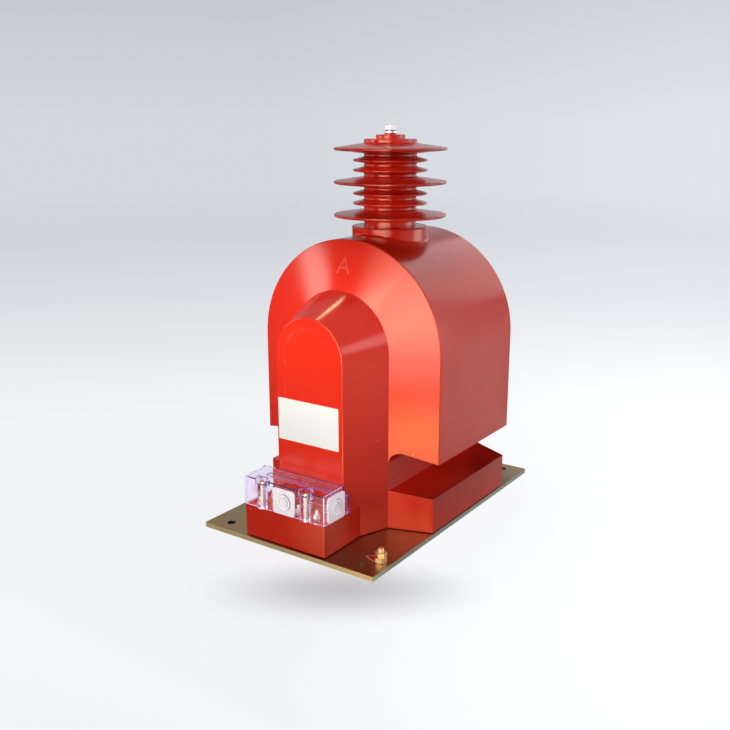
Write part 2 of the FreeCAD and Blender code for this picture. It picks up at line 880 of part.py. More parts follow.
def hv_spring_washer(level):
    ring = rings(
        "hv_spring_ring", [(0, winding_middle, level)],
        s["hv_spring_radius"], s["hv_thread_radius"] + s["washer_clearance"], s["hv_spring_thickness"],
    )
    half_slot = s["hv_spring_slot"] / 2
    slot = block(
        "hv_spring_cut",
        (-half_slot, winding_middle - s["hv_spring_radius"], level),
        (half_slot, winding_middle + 0, level + s["hv_spring_thickness"]),
    )
    return cut("hv_spring_washer", ring, slot)


def hv_bolt(level):
    shank = s["hv_thread_radius"] - thread_gap
    return fused("hv_bolt", [
        hexagon("hv_bolt_head", (0, winding_middle, level), s["hv_bolt_flats"], s["hv_bolt_head"]),
        cylinder("hv_bolt_shank", (0, winding_middle, level - s["hv_bolt_length"]), shank, s["hv_bolt_length"]),
    ])


def hv_terminal():
    spring_level = hv_face + s["hv_washer_thickness"]
    return [
        rings(
            "hv_washer", [(0, winding_middle, hv_face)],
            s["hv_washer_radius"], s["hv_thread_radius"] + s["washer_clearance"], s["hv_washer_thickness"],
        ),
        hv_spring_washer(spring_level),
        hv_bolt(spring_level + s["hv_spring_thickness"]),
    ]


# Secondary terminals

def terminal_studs():
    studs = []
    collar_foot = tray_floor - s["terminal_collar_length"]
    for number, (x, y) in enumerate(terminal_places):
        studs.append(cylinder(
            f"stud_collar_{number}", (x, y, collar_foot), s["terminal_collar_radius"], s["terminal_collar_length"]
        ))
        studs.append(cylinder(
            f"stud_thread_{number}", (x, y, tray_floor), s["terminal_thread_radius"], s["terminal_rise"]
        ))
    return fused("terminal_studs", studs)


def terminal_hardware():
    bore = s["terminal_thread_radius"] + thread_gap
    washer_level = tray_floor + s["terminal_nut_height"]
    upper_level = washer_level + s["terminal_washer_thickness"]
    flats, height = s["terminal_nut_flats"], s["terminal_nut_height"]
    return [
        nuts("terminal_lower_nuts", [(x, y, tray_floor) for x, y in terminal_places], flats, bore, height),
        rings(
            "terminal_washers", [(x, y, washer_level) for x, y in terminal_places],
            s["terminal_washer_radius"], s["terminal_thread_radius"] + s["washer_clearance"],
            s["terminal_washer_thickness"],
        ),
        nuts("terminal_upper_nuts", [(x, y, upper_level) for x, y in terminal_places], flats, bore, height),
    ]


# Leads

def bent_wire(points, radius):
    """Straight runs joined by tangent arcs."""
    edges = []
    start = points[0]
    for before, corner, after in zip(points, points[1:], points[2:]):
        way_in, way_out = (corner - before).normalize(), (after - corner).normalize()
        turn = way_in.getAngle(way_out)
        reach = radius * math.tan(turn / 2)
        first, last = corner - way_in * reach, corner + way_out * reach
        inward = (way_out - way_in).normalize()
        middle = corner + inward * (radius / math.cos(turn / 2) - radius)
        edges.append(Part.LineSegment(start, first).toShape())
        edges.append(Part.Arc(first, middle, last).toShape())
        start = last
    edges.append(Part.LineSegment(start, points[-1]).toShape())
    return Part.Wire(edges)


def lead_along(points):
    wire = bent_wire(points, s["lead_bend_radius"].value)
    way = (points[1] - points[0]).normalize()
    ring = Part.Wire([Part.Circle(points[0], way, s["lead_radius"].value).toShape()])
    return wire.makePipeShell([ring], True, False)


def lead_route(number, x, y):
    """From a coil's front face down the front column and up to a stud."""
    row, column = divmod(number, 4)
    inner = column in (1, 2)
    place = s["lead_inner_place"] if inner else s["lead_outer_place"]
    across = -place if column < 2 else place
    level = s["lead_level"] + row * s["lead_level_step"]
    down = column_front + s["lead_front_cover"] + row * s["lead_row_step"]
    route = [(across, down, level), (x, y, level), (x, y, tray_floor - s["terminal_collar_length"])]
    if row == 1 and column == 1:
        side, height = -s["core_width"] / 2, s["core_lead_height"]
        start = [(side, s["core_lead_place"], height), (across, s["core_lead_place"], height)]
    elif row == 1 and column == 2:
        height = s["axis_height"] - s["primary_bore"] + s["lead_start_step"]
        start = [(across, winding_middle - s["primary_length"] / 2, height)]
    else:
        height = s["axis_height"] - s["lead_start_drop"] - row * s["lead_start_step"]
        start = [(across, winding_middle - s["secondary_length"] / 2, height)]
    return [Vector(*map(value_of, point)) for point in start + [(across, down, height)] + route]


def secondary_leads():
    leads = doc.addObject("Part::Feature", "secondary_leads")
    leads.Label = "secondary_leads"
    routes = [lead_route(number, x, y) for number, (x, y) in enumerate(terminal_places)]
    leads.Shape = Part.makeCompound([lead_along(route) for route in routes])
    return leads


# Terminal cover, its screws and their inserts

def cover_shell(label, inset, foot):
    """The cover's stepped outline, or with an inset its hollow."""
    body = new_body(label)
    rim = s["tray_rim"]
    step = cover_front + s["cover_depth"]
    back = column_front - s["cover_seam"]
    section = sketch_on(body, f"{label}_section", "YZ_Plane", tray_left + inset)
    closed_profile(section, [
        (cover_front + inset, foot),
        (back - inset, foot),
        (back - inset, rim + s["cover_flange_height"] - inset),
        (step - inset, rim + s["cover_flange_height"] - inset),
        (step - inset, rim + s["cover_height"] - inset),
        (cover_front + inset, rim + s["cover_front_height"] - inset),
    ])
    feature_from(body, "Pad", f"{label}_prism", section, s["tray_width"] - 2 * inset)
    return body


def cover_outline():
    body = cover_shell("cover_outline", s["cover_wall"] * 0, cover_foot)
    top_front = s["tray_rim"] + s["cover_front_height"]
    dressed(body, "Fillet", "cover_edges", "Radius", s["cover_edge_radius"], lambda edge: (
        lies_at(edge, y=cover_front, z=top_front)
        or (is_upright(edge) and lies_at(edge, y=cover_front))
        or lies_at(edge, y=cover_front + s["cover_depth"], z=s["tray_rim"] + s["cover_height"])
    ))
    return body


def plug_places():
    """Centre, and turn about Z, of the three cable entries."""
    height = s["tray_rim"] + s["plug_rise"]
    along = cover_front + s["plug_side_inset"]
    return [
        ("front", s["plug_place"], cover_front, height, 0),
        ("right", tray_right, along, height, 90),
        ("left", tray_left, along, height, -90),
    ]


def entry_hole(name, x, y, z, turn):
    """A round hole through a wall, along the plug's own axis."""
    reach = s["cover_wall"] * 2
    inward = {0: (0, 1), 90: (-1, 0), -90: (1, 0)}[turn]
    start = (x - inward[0] * reach, y - inward[1] * reach, z)
    hole = cylinder(name, start, s["plug_spigot_radius"] + s["plug_fit"], reach * 2)
    hole.Placement.Rotation = Rotation(Vector(0, 0, 1), Vector(*inward, 0))
    return hole


def terminal_cover():
    inside = cover_shell("cover_inside", s["cover_wall"], cover_foot - s["cover_wall"])
    post_height = cover_ledge - cover_foot
    ledge_foot = cover_ledge - s["cover_wall"]
    well_room = s["cover_well_radius"] + s["cover_wall"]
    posts = []
    well_walls = []
    removed = []
    for number, (x, y) in enumerate(cover_screw_places):
        posts.append(cylinder(f"cover_post_{number}", (x, y, cover_foot), s["cover_post_radius"], post_height))
        well_walls.append(cylinder(f"cover_well_wall_{number}", (x, y, ledge_foot), well_room, s["cover_height"]))
        removed.append(cylinder(f"cover_well_{number}", (x, y, cover_ledge), s["cover_well_radius"], s["cover_height"]))
        removed.append(block(
            f"cover_well_mouth_{number}",
            (x - s["cover_well_radius"], cover_front - s["cover_wall"], cover_ledge),
            (x + s["cover_well_radius"], y, cover_ledge + s["cover_height"]),
        ))
        removed.append(cylinder(
            f"cover_screw_hole_{number}", (x, y, cover_foot - s["cover_wall"]), s["cover_hole_radius"],
            s["cover_height"] + s["cover_wall"],
        ))
    walls = cut("cover_walls", cover_outline(), cut("cover_hollow", inside, fused("cover_well_walls", well_walls)))
    for name, x, y, z, turn in plug_places():
        removed.append(entry_hole(f"cover_entry_{name}", x, y, z, turn))
    return cut("terminal_cover", fused("cover_solid", [walls] + posts), fused("cover_removed", removed))


def entry_plug(name, x, y, z, turn):
    """A square membrane plug: flange outside the wall, spigot through it, raised rings."""
    body = new_body(f"plug_{name}")
    half_width, half_height = s["plug_width"] / 2, s["plug_height"] / 2
    flange = sketch_on(body, f"plug_{name}_flange", "XZ_Plane")
    rectangle_in(flange, -half_width, half_width, -half_height, half_height)
    feature_from(body, "Pad", f"plug_{name}_plate", flange, s["plug_flange"])
    dressed(body, "Fillet", f"plug_{name}_corners", "Radius", s["plug_corner_radius"], lambda edge: (
        abs(edge.Vertexes[0].Point.y - edge.Vertexes[-1].Point.y) > value_of(s["plug_flange"]) / 2
    ))
    spigot = sketch_on(body, f"plug_{name}_spigot", "XZ_Plane")
    circle_in(spigot, 0, 0, s["plug_spigot_radius"])
    feature_from(body, "Pad", f"plug_{name}_neck", spigot, s["plug_spigot_depth"], Reversed=True)
    for number in (0, 1):
        radius = s["plug_ring_radius"] - number * s["plug_ring_pitch"]
        ring = sketch_on(body, f"plug_{name}_ring_{number}", "XZ_Plane", -s["plug_flange"])
        circle_in(ring, 0, 0, radius)
        circle_in(ring, 0, 0, radius - s["plug_ring_width"])
        feature_from(body, "Pad", f"plug_{name}_bead_{number}", ring, s["plug_ring_height"])
    body.Placement.Rotation = Rotation(Vector(0, 0, 1), turn)
    for axis, size in zip("xyz", (x, y, z)):
        bind(body, f"Placement.Base.{axis}", size)
    return body


def cover_screws():
    """Slotted cheese-head screws from the wells down into the tray's inserts."""
    foot = s["tray_rim"] - s["cover_insert_length"] / 2
    screws = []
    slots = []
    for number, (x, y) in enumerate(cover_screw_places):
        screws.append(cylinder(f"screw_shank_{number}", (x, y, foot), s["cover_screw_radius"], cover_ledge - foot))
        screws.append(cylinder(
            f"screw_head_{number}", (x, y, cover_ledge), s["cover_head_radius"], s["cover_head_height"]
        ))
        top = cover_ledge + s["cover_head_height"]
        half_slot = s["cover_slot_width"] / 2
        slots.append(block(
            f"screw_slot_{number}",
            (x - s["cover_head_radius"], y - half_slot, top - s["cover_slot_depth"]),
            (x + s["cover_head_radius"], y + half_slot, top + s["cover_slot_depth"]),
        ))
    return cut("cover_screws", fused("screws_solid", screws), fused("screw_slots", slots))


def inserts(label, places, low, radius, bore, length, depth):
    """Threaded inserts and the plain envelopes that the casting closes on."""
    barrels = [cylinder(f"{label}_barrel_{n}", (x, y, low), radius, length) for n, (x, y) in enumerate(places)]
    bore_foot = low if label == "body_inserts" else low + length - depth
    bores = [cylinder(f"{label}_bore_{n}", (x, y, bore_foot), bore, depth) for n, (x, y) in enumerate(places)]
    envelope = fused(f"{label}_envelope", barrels)
    return envelope, cut(label, envelope, fused(f"{label}_bores", bores))


# Nameplate

def nameplate():
    body = new_body("nameplate")
    half_width, half_height = s["nameplate_width"] / 2, s["nameplate_height"] / 2
    outline = sketch_on(body, "nameplate_outline", "XZ_Plane", column_front)
    left, right = s["nameplate_shift"] - half_width, s["nameplate_shift"] + half_width
    rectangle_in(outline, left, right, s["nameplate_middle"] - half_height, s["nameplate_middle"] + half_height)
    feature_from(body, "Pad", "nameplate_sheet", outline, s["nameplate_thickness"])
    dressed(body, "Fillet", "nameplate_corners", "Radius", s["nameplate_corner_radius"], lambda edge: (
        abs(edge.Vertexes[0].Point.y - edge.Vertexes[-1].Point.y) > value_of(s["nameplate_thickness"]) / 2
    ))
    return body


# Screws under the plate and the earth stud

def body_screws():
    """Countersunk screws, each head sunk a little below the plate's underside."""
    sink, radius = s["body_screw_sink"], s["body_screw_radius"] - thread_gap
    head_radius = s["body_screw_head_radius"] - sink
    screws = []
    for number, (x, y) in enumerate(body_screw_places):
        screws.append(solid(
            "Cone", f"body_screw_head_{number}", (x, y, sink),
            Radius1=head_radius, Radius2=radius, Height=head_radius - radius,
        ))
        screws.append(cylinder(f"body_screw_shank_{number}", (x, y, sink), radius, s["body_screw_length"]))
    return fused("body_screws", screws)


def earth_parts():
    x, y = earth_across, earth_along
    sink = s["earth_stud_sink"]
    stud = cylinder("earth_stud", (x, y, sink), s["earth_stud_radius"], s["earth_stud_top"] - sink)
    bore = s["earth_stud_radius"] + thread_gap
    lower, height, flats = s["plate_thickness"], s["earth_nut_height"], s["earth_nut_flats"]
    lock_turn, clamp_turn = s["earth_lock_nut_turn"], s["earth_clamp_nut_turn"]
    return [
        stud,
        nuts("earth_lock_nut", [(x, y, lower)], flats, bore, height, turn=lock_turn, both_ends=True),
        nuts("earth_clamp_nut", [(x, y, lower + height)], flats, bore, height, turn=clamp_turn, both_ends=True),
    ]


# Assembly

def embedded_parts():
    """What the resin is cast around, with the envelopes that it closes on."""
    bore = s["former_bore"]
    measuring = bore + s["former_wall"]
    metering = measuring + s["measuring_coil_wall"]
    residual = metering + s["metering_coil_wall"]
    length = s["secondary_length"]
    parts = [
        core_half("core_front_half", core_front, 1),
        core_half("core_rear_half", core_rear, -1),
        core_band(),
        coil_layer("coil_former", bore, s["former_wall"], s["former_length"]),
        coil_layer("measuring_coil", measuring, s["measuring_coil_wall"], length),
        coil_layer("metering_coil", metering, s["metering_coil_wall"], length),
        coil_layer("residual_coil", residual, s["residual_coil_wall"], length),
        primary_coil(),
        primary_shield(),
        hv_lead(),
        terminal_studs(),
        secondary_leads(),
    ]
    hv_envelope = hv_insert_envelope()
    body_envelope, body_barrels = inserts(
        "body_inserts", body_screw_places, s["plate_thickness"], s["body_insert_radius"],
        s["body_screw_radius"], s["body_insert_length"], s["body_screw_length"],
    )
    cover_envelope, cover_barrels = inserts(
        "cover_inserts", cover_screw_places, s["tray_rim"] - s["cover_insert_length"], s["cover_insert_radius"],
        s["cover_screw_radius"] + thread_gap, s["cover_insert_length"], s["cover_insert_length"] * 3 / 4,
    )
    envelopes = parts + [hv_envelope, body_envelope, cover_envelope]
    return envelopes, parts + [hv_insert(hv_envelope), body_barrels, cover_barrels]


def assemble():
    envelopes, parts = embedded_parts()
    parts.append(cut("resin_body", casting(), fused("cast_around", envelopes)))
    parts.append(base_plate())
    parts += hv_terminal()
    parts += terminal_hardware()
    parts.append(terminal_cover())
    parts.append(fused("cable_entry_plugs", [entry_plug(*place) for place in plug_places()]))
    parts += [cover_screws(), nameplate(), body_screws()]
    parts += earth_parts()
    doc.recompute()
    return parts


def check(parts):
    """Stops before anything is written if an object failed or a shape is unsound."""
    for thing in doc.Objects:
        if "Invalid" in thing.State or "Error" in thing.State:
            raise RuntimeError(f"{thing.Name} is in state {thing.State}")
    for part in parts:
        if part.Shape.isNull() or not part.Shape.isValid():
            raise RuntimeError(f"{part.Label} has no sound shape")


sub_parts = assemble()
check(sub_parts)
os.makedirs("parts", exist_ok=True)
for sub_part in sub_parts:
    sub_part.Shape.exportStep(f"parts/{sub_part.Label}.step")
    solids = len(sub_part.Shape.Solids)
    print(f"{sub_part.Label}: {solids} solids, {sub_part.Shape.Volume / 1000:.1f} cm3")
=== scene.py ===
import bpy
from math import asin, cos, pi, radians, sin
from mathutils import Matrix, Vector


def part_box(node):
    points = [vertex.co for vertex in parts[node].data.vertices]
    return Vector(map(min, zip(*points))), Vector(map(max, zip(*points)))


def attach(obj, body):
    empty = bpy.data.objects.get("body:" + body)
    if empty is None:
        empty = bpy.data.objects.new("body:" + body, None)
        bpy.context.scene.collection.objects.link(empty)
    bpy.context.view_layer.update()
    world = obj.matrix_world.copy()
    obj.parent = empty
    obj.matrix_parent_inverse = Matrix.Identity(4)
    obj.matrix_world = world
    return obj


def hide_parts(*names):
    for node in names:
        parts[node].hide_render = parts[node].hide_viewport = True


# Cast-resin voltage transformer: materials, threads, marks, studio and camera.
# Metres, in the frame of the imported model. -Y is the front, +Z is up.

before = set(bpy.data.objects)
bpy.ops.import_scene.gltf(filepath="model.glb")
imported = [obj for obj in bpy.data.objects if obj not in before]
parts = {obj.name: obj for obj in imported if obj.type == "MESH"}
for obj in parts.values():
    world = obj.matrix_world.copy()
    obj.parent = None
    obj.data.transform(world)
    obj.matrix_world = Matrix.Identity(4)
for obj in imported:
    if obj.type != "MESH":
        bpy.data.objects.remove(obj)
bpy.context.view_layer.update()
mm = 0.001
print("model loaded:", len(parts), "nodes")


# Small tools

def newGroup(name, inputs, outputs):
    group = bpy.data.node_groups.new(name, "ShaderNodeTree")
    for label, value in inputs.items():
        socket = group.interface.new_socket(label, in_out="INPUT", socket_type="NodeSocketFloat")
        socket.default_value = value
    for label in outputs:
        group.interface.new_socket(label, in_out="OUTPUT", socket_type="NodeSocketFloat")
    return group, group.nodes.new("NodeGroupInput"), group.nodes.new("NodeGroupOutput")


def addNode(tree, kind, **settings):
    node = tree.nodes.new(kind)
    for name, value in settings.items():
        setattr(node, name, value)
    return node


def fillSocket(tree, socket, value):
    if isinstance(value, bpy.types.NodeSocket):
        tree.links.new(value, socket)
    else:
        socket.default_value = value


def useMath(tree, operation, first, second=None):
    node = addNode(tree, "ShaderNodeMath", operation=operation)
    fillSocket(tree, node.inputs[0], first)
    if second is not None:
        fillSocket(tree, node.inputs[1], second)
    return node.outputs[0]


def useVector(tree, operation, first, second=None):
    node = addNode(tree, "ShaderNodeVectorMath", operation=operation)
    fillSocket(tree, node.inputs[0], first)
    if second is not None:
        fillSocket(tree, node.inputs[1], second)
    isNumber = operation in ("DOT_PRODUCT", "DISTANCE", "LENGTH")
    return node.outputs["Value" if isNumber else "Vector"]


def mapRange(tree, value, fromLow, fromHigh, toLow, toHigh, **settings):
    node = addNode(tree, "ShaderNodeMapRange", **settings)
    tree.links.new(value, node.inputs["Value"])
    node.inputs["From Min"].default_value = fromLow
    node.inputs["From Max"].default_value = fromHigh
    node.inputs["To Min"].default_value = toLow
    node.inputs["To Max"].default_value = toHigh
    return node.outputs["Result"]


def mixColors(tree, mask, first, second):
    node = addNode(tree, "ShaderNodeMix", data_type="RGBA")
    for number, value in ((0, mask), (6, first), (7, second)):  # factor and the two colours
        opaque = (*value, 1) if isinstance(value, tuple) else value
        fillSocket(tree, node.inputs[number], opaque)
    return node.outputs[2]


def splitPlace(tree):
    # the place on the object, whole and as X, Y and Z
    place = addNode(tree, "ShaderNodeTexCoord").outputs["Object"]
    split = addNode(tree, "ShaderNodeSeparateXYZ")
    tree.links.new(place, split.inputs["Vector"])
    return place, split.outputs


def distanceTo(tree, value, middle):
    return useMath(tree, "ABSOLUTE", useMath(tree, "SUBTRACT", value, middle))


def planeDistance(tree, across, up):
    squares = [
        useMath(tree, "POWER", useMath(tree, "ABSOLUTE", side), 2) for side in (across, up)
    ]
    return useMath(tree, "SQRT", useMath(tree, "ADD", *squares))


def newMaterial(name):
    material = bpy.data.materials.new(name)
    material.use_nodes = True
    return material, material.node_tree, material.node_tree.nodes["Principled BSDF"]


def placeGroup(tree, group, **values):
    node = addNode(tree, "ShaderNodeGroup", node_tree=group)
    for name, value in values.items():
        node.inputs[name].default_value = value
    return node.outputs


def addBump(tree, shader, height, strength, distance, edgeRadius=None):
    bump = addNode(tree, "ShaderNodeBump")
    bump.inputs["Strength"].default_value = strength
    bump.inputs["Distance"].default_value = distance
    tree.links.new(height, bump.inputs["Height"])
    if edgeRadius:
        tree.links.new(roundedNormal(tree, edgeRadius), bump.inputs["Normal"])
    tree.links.new(bump.outputs["Normal"], shader.inputs["Normal"])


def roundedNormal(tree, radius):
    edge = addNode(tree, "ShaderNodeBevel", samples=4)
    edge.inputs["Radius"].default_value = radius
    return edge.outputs["Normal"]


# Effects that several finishes share

effectForm = {
    "roughPatches": (0.3, 0.7),
    "noiseMiddle": 0.5,
    "waveDetail": 2,
    "grainDetail": 3,
    "scratchStretch": (1, 0.02, 1),
    "scratchDetail": 1,
    "scratchShare": 0.1,
    "gapScale": 14,
    "gapLevel": 0.52,
    "chatterScale": 300,
}


def patchyRoughness(tree, waves, roughness, spread):
    span = effectForm["roughPatches"]
    return mapRange(tree, waves["Patches"], *span, roughness, roughness + spread)


def addNoise(tree, place, **values):
    noise = addNode(tree, "ShaderNodeTexNoise")
    tree.links.new(place, noise.inputs["Vector"])
    for name, value in values.items():
        fillSocket(tree, noise.inputs[name], value)
    return noise.outputs["Fac"]


def makeSurfaceWaves():
    # long soft waves of a moulded face, with a finer grain on top
    form = effectForm
    group, entry, outlet = newGroup(
        "surfaceWaves", {"WaveScale": 9, "GrainScale": 420, "GrainShare": 0.1},
        ["Height", "Patches"],
    )
    place = addNode(group, "ShaderNodeTexCoord").outputs["Object"]
    waves = addNoise(group, place, Scale=entry.outputs["WaveScale"], Detail=form["waveDetail"])
    grain = addNoise(group, place, Scale=entry.outputs["GrainScale"], Detail=form["grainDetail"])
    fine = useMath(group, "MULTIPLY", grain, entry.outputs["GrainShare"])
    group.links.new(useMath(group, "ADD", waves, fine), outlet.inputs["Height"])
    group.links.new(waves, outlet.inputs["Patches"])
    return group


def makeScratches():
    # hair lines along one direction, broken by a wide noise
    form = effectForm
    group, entry, outlet = newGroup(
        "scratches", {"Angle": 0.4, "Scale": 60, "Amount": 0.05}, ["Mask"],
    )
    place = addNode(group, "ShaderNodeTexCoord").outputs["Object"]
    turn = addNode(group, "ShaderNodeVectorRotate", rotation_type="Z_AXIS")
    group.links.new(place, turn.inputs["Vector"])
    group.links.new(entry.outputs["Angle"], turn.inputs["Angle"])
    stretched = useVector(group, "MULTIPLY", turn.outputs["Vector"], form["scratchStretch"])
    lines = addNoise(
        group, stretched, Scale=entry.outputs["Scale"], Detail=form["scratchDetail"],
    )
    reach = useMath(group, "MULTIPLY", entry.outputs["Amount"], form["scratchShare"])
    off = distanceTo(group, lines, form["noiseMiddle"])
    near = useMath(group, "LESS_THAN", off, reach)
    gaps = addNoise(group, place, Scale=form["gapScale"])
    some = useMath(group, "GREATER_THAN", gaps, form["gapLevel"])
    group.links.new(useMath(group, "MULTIPLY", near, some), outlet.inputs["Mask"])
    return group


def makeToolMarks():
    # rings left by a lathe, one above the other along Z
    group, entry, outlet = newGroup(
        "toolMarks", {"Pitch": 0.4 * mm, "Unevenness": 0.5}, ["Height"],
    )
    place, axes = splitPlace(group)
    turns = useMath(group, "MULTIPLY", axes["Z"], 2 * pi)
    wave = useMath(group, "SINE", useMath(group, "DIVIDE", turns, entry.outputs["Pitch"]))
    chatter = addNoise(group, place, Scale=effectForm["chatterScale"])
    uneven = useMath(group, "MULTIPLY", chatter, entry.outputs["Unevenness"])
    group.links.new(useMath(group, "ADD", wave, uneven), outlet.inputs["Height"])
    return group


surfaceWaves = makeSurfaceWaves()
scratches = makeScratches()
toolMarks = makeToolMarks()


# Finishes

resinLook = {
    "color": (0.82, 0.030, 0.012),
    "deepColor": (0.74, 0.022, 0.009),
    "lineColor": (0.42, 0.016, 0.014),
    "scuffColor": (0.86, 0.15, 0.09),
    "speckColor": (0.90, 0.62, 0.52),
    "roughness": 0.155,
    "roughnessSpread": 0.06,
    "ior": 1.56,
    "sheenColor": (1, 0.90, 0.74),
    "waves": {"WaveScale": 6, "GrainScale": 260, "GrainShare": 0.02},
    "rubs": {"WaveScale": 34, "GrainScale": 90, "GrainShare": 0.3},
    "waveStrength": 0.2,
    "waveDepth": 0.3 * mm,
    "edgeRadius": 0.9 * mm,
    "partingPlace": 37 * mm,
    "partingWidth": 0.3 * mm,
    "partingShade": 0.5,
    "partingRidge": 0.3,
    "archHeight": 301 * mm,
    "scuffReach": 48 * mm,
    "scuffWidth": 5 * mm,
    "scuffPlace": -190 * mm,
    "scuffLow": 230 * mm,
    "scuffPatches": (0.42, 0.62),
    "scuffShade": 0.2,
    "scuffRoughness": 0.5,
    "speckScale": 42,
    "speckSize": 0.035,
    "speckLevel": 0.6,
    "speckShade": 0.5,
}


def makeScuffs(tree, axes):
    # pale rubbed arcs that follow the arch on the column's front face
    look = resinLook
    rubs = placeGroup(tree, surfaceWaves, **look["rubs"])
    rise = useMath(tree, "SUBTRACT", axes["Z"], look["archHeight"])
    away = planeDistance(tree, axes["X"], useMath(tree, "MAXIMUM", rise, 0))
    off = distanceTo(tree, away, look["scuffReach"])
    band = mapRange(tree, off, 0, look["scuffWidth"], 1, 0)
    front = useMath(tree, "LESS_THAN", axes["Y"], look["scuffPlace"])
    high = useMath(tree, "GREATER_THAN", axes["Z"], look["scuffLow"])
    face = useMath(tree, "MULTIPLY", front, high)
    broken = mapRange(tree, rubs["Patches"], *look["scuffPatches"], 0, 1)
    return useMath(tree, "MULTIPLY", useMath(tree, "MULTIPLY", band, face), broken)


def makeSpecks(tree, place):
    # a few grains of dust
    look = resinLook
    cells = addNode(tree, "ShaderNodeTexVoronoi")
    cells.inputs["Scale"].default_value = look["speckScale"]
    tree.links.new(place, cells.inputs["Vector"])
    pick = addNode(tree, "ShaderNodeSeparateColor")
    tree.links.new(cells.outputs["Color"], pick.inputs["Color"])
    near = useMath(tree, "LESS_THAN", cells.outputs["Distance"], look["speckSize"])
    some = useMath(tree, "GREATER_THAN", pick.outputs["Red"], look["speckLevel"])
    return useMath(tree, "MULTIPLY", near, some)


def makeResin():
    look = resinLook
    material, tree, shader = newMaterial("castResin")
    waves = placeGroup(tree, surfaceWaves, **look["waves"])
    place, axes = splitPlace(tree)
    away = distanceTo(tree, axes["Y"], look["partingPlace"])
    parting = mapRange(tree, away, look["partingWidth"], look["partingWidth"] * 2, 1, 0)
    scuffs = useMath(tree, "MULTIPLY", makeScuffs(tree, axes), look["scuffShade"])
    specks = useMath(tree, "MULTIPLY", makeSpecks(tree, place), look["speckShade"])
    line = useMath(tree, "MULTIPLY", parting, look["partingShade"])
    color = mixColors(tree, waves["Patches"], look["deepColor"], look["color"])
    color = mixColors(tree, scuffs, color, look["scuffColor"])
    color = mixColors(tree, specks, color, look["speckColor"])
    color = mixColors(tree, line, color, look["lineColor"])
    tree.links.new(color, shader.inputs["Base Color"])
    shader.inputs["IOR"].default_value = look["ior"]
    shader.inputs["Specular Tint"].default_value = (*look["sheenColor"], 1)
    rough = patchyRoughness(tree, waves, look["roughness"], look["roughnessSpread"])
    rubbed = useMath(tree, "MULTIPLY", scuffs, look["scuffRoughness"])
    tree.links.new(useMath(tree, "ADD", rough, rubbed), shader.inputs["Roughness"])
    ridge = useMath(tree, "MULTIPLY", parting, look["partingRidge"])
    height = useMath(tree, "ADD", waves["Height"], ridge)
    addBump(tree, shader, height, look["waveStrength"], look["waveDepth"], look["edgeRadius"])
    return material


plateLook = {
    "gold": (0.49, 0.31, 0.14),
    "olive": (0.44, 0.33, 0.16),
    "rose": (0.50, 0.29, 0.21),
    "clouds": {"WaveScale": 11, "GrainScale": 500, "GrainShare": 0.15},
    "goldPatches": (0.4, 0.6),
    "roseClouds": {"WaveScale": 23, "GrainScale": 300, "GrainShare": 0.1},
    "rosePatches": (0.52, 0.68),
    "roseShare": 0.7,
    # painted shade and painted red reflection of the tray on the plate beside it
    "trayShadeColor": (0.27, 0.155, 0.07),
    "trayShadeAcross": (-20 * mm, 80 * mm),
    "trayShadeAlong": (-260 * mm, -120 * mm),
    "scratchColor": (0.62, 0.50, 0.34),
    "scratches": [
        {"Angle": 0.5, "Scale": 420, "Amount": 0.10},
        {"Angle": -1.0, "Scale": 300, "Amount": 0.07},
    ],
    "scratchShade": 0.4,
    # painted light: the front cut edge is a lighter gold than the side edges, as if lit
    "litFrontEdge": (0.70, 0.54, 0.29),
    "sideEdge": (0.46, 0.50, 0.38),
    "edgeRoughness": 0.45,
    "edgeMetallic": 0.15,
    "edgeStart": 0.985,
    # painted shade inside the plate's holes
    "holeShadeColor": (0.16, 0.15, 0.09),
    "halfSize": (170 * mm, 265 * mm),
    "slant": 0.5,
    "roughness": 0.30,
    "roughnessSpread": 0.14,
    "roughWaves": (0.35, 0.75),
    "waveStrength": 0.25,
    "waveDepth": 0.08 * mm,
}


def makePlateEdges(tree, axes):
    # masks for the plate's four cut edges, its holes' walls and the edges that face sideways
    look = plateLook
    surface = addNode(tree, "ShaderNodeNewGeometry")
    normal = addNode(tree, "ShaderNodeSeparateXYZ")
    tree.links.new(surface.outputs["Normal"], normal.inputs["Vector"])
    up, sideways = (useMath(tree, "ABSOLUTE", normal.outputs[axis]) for axis in "ZX")
    upright = useMath(tree, "LESS_THAN", up, look["slant"])
    reach = [
        useMath(tree, "DIVIDE", useMath(tree, "ABSOLUTE", axes[axis]), half)
        for axis, half in zip("XY", look["halfSize"])
    ]
    outer = useMath(tree, "GREATER_THAN", useMath(tree, "MAXIMUM", *reach), look["edgeStart"])
    rim = useMath(tree, "MULTIPLY", upright, outer)
    hole = useMath(tree, "SUBTRACT", upright, rim)
    return rim, hole, useMath(tree, "GREATER_THAN", sideways, look["slant"])


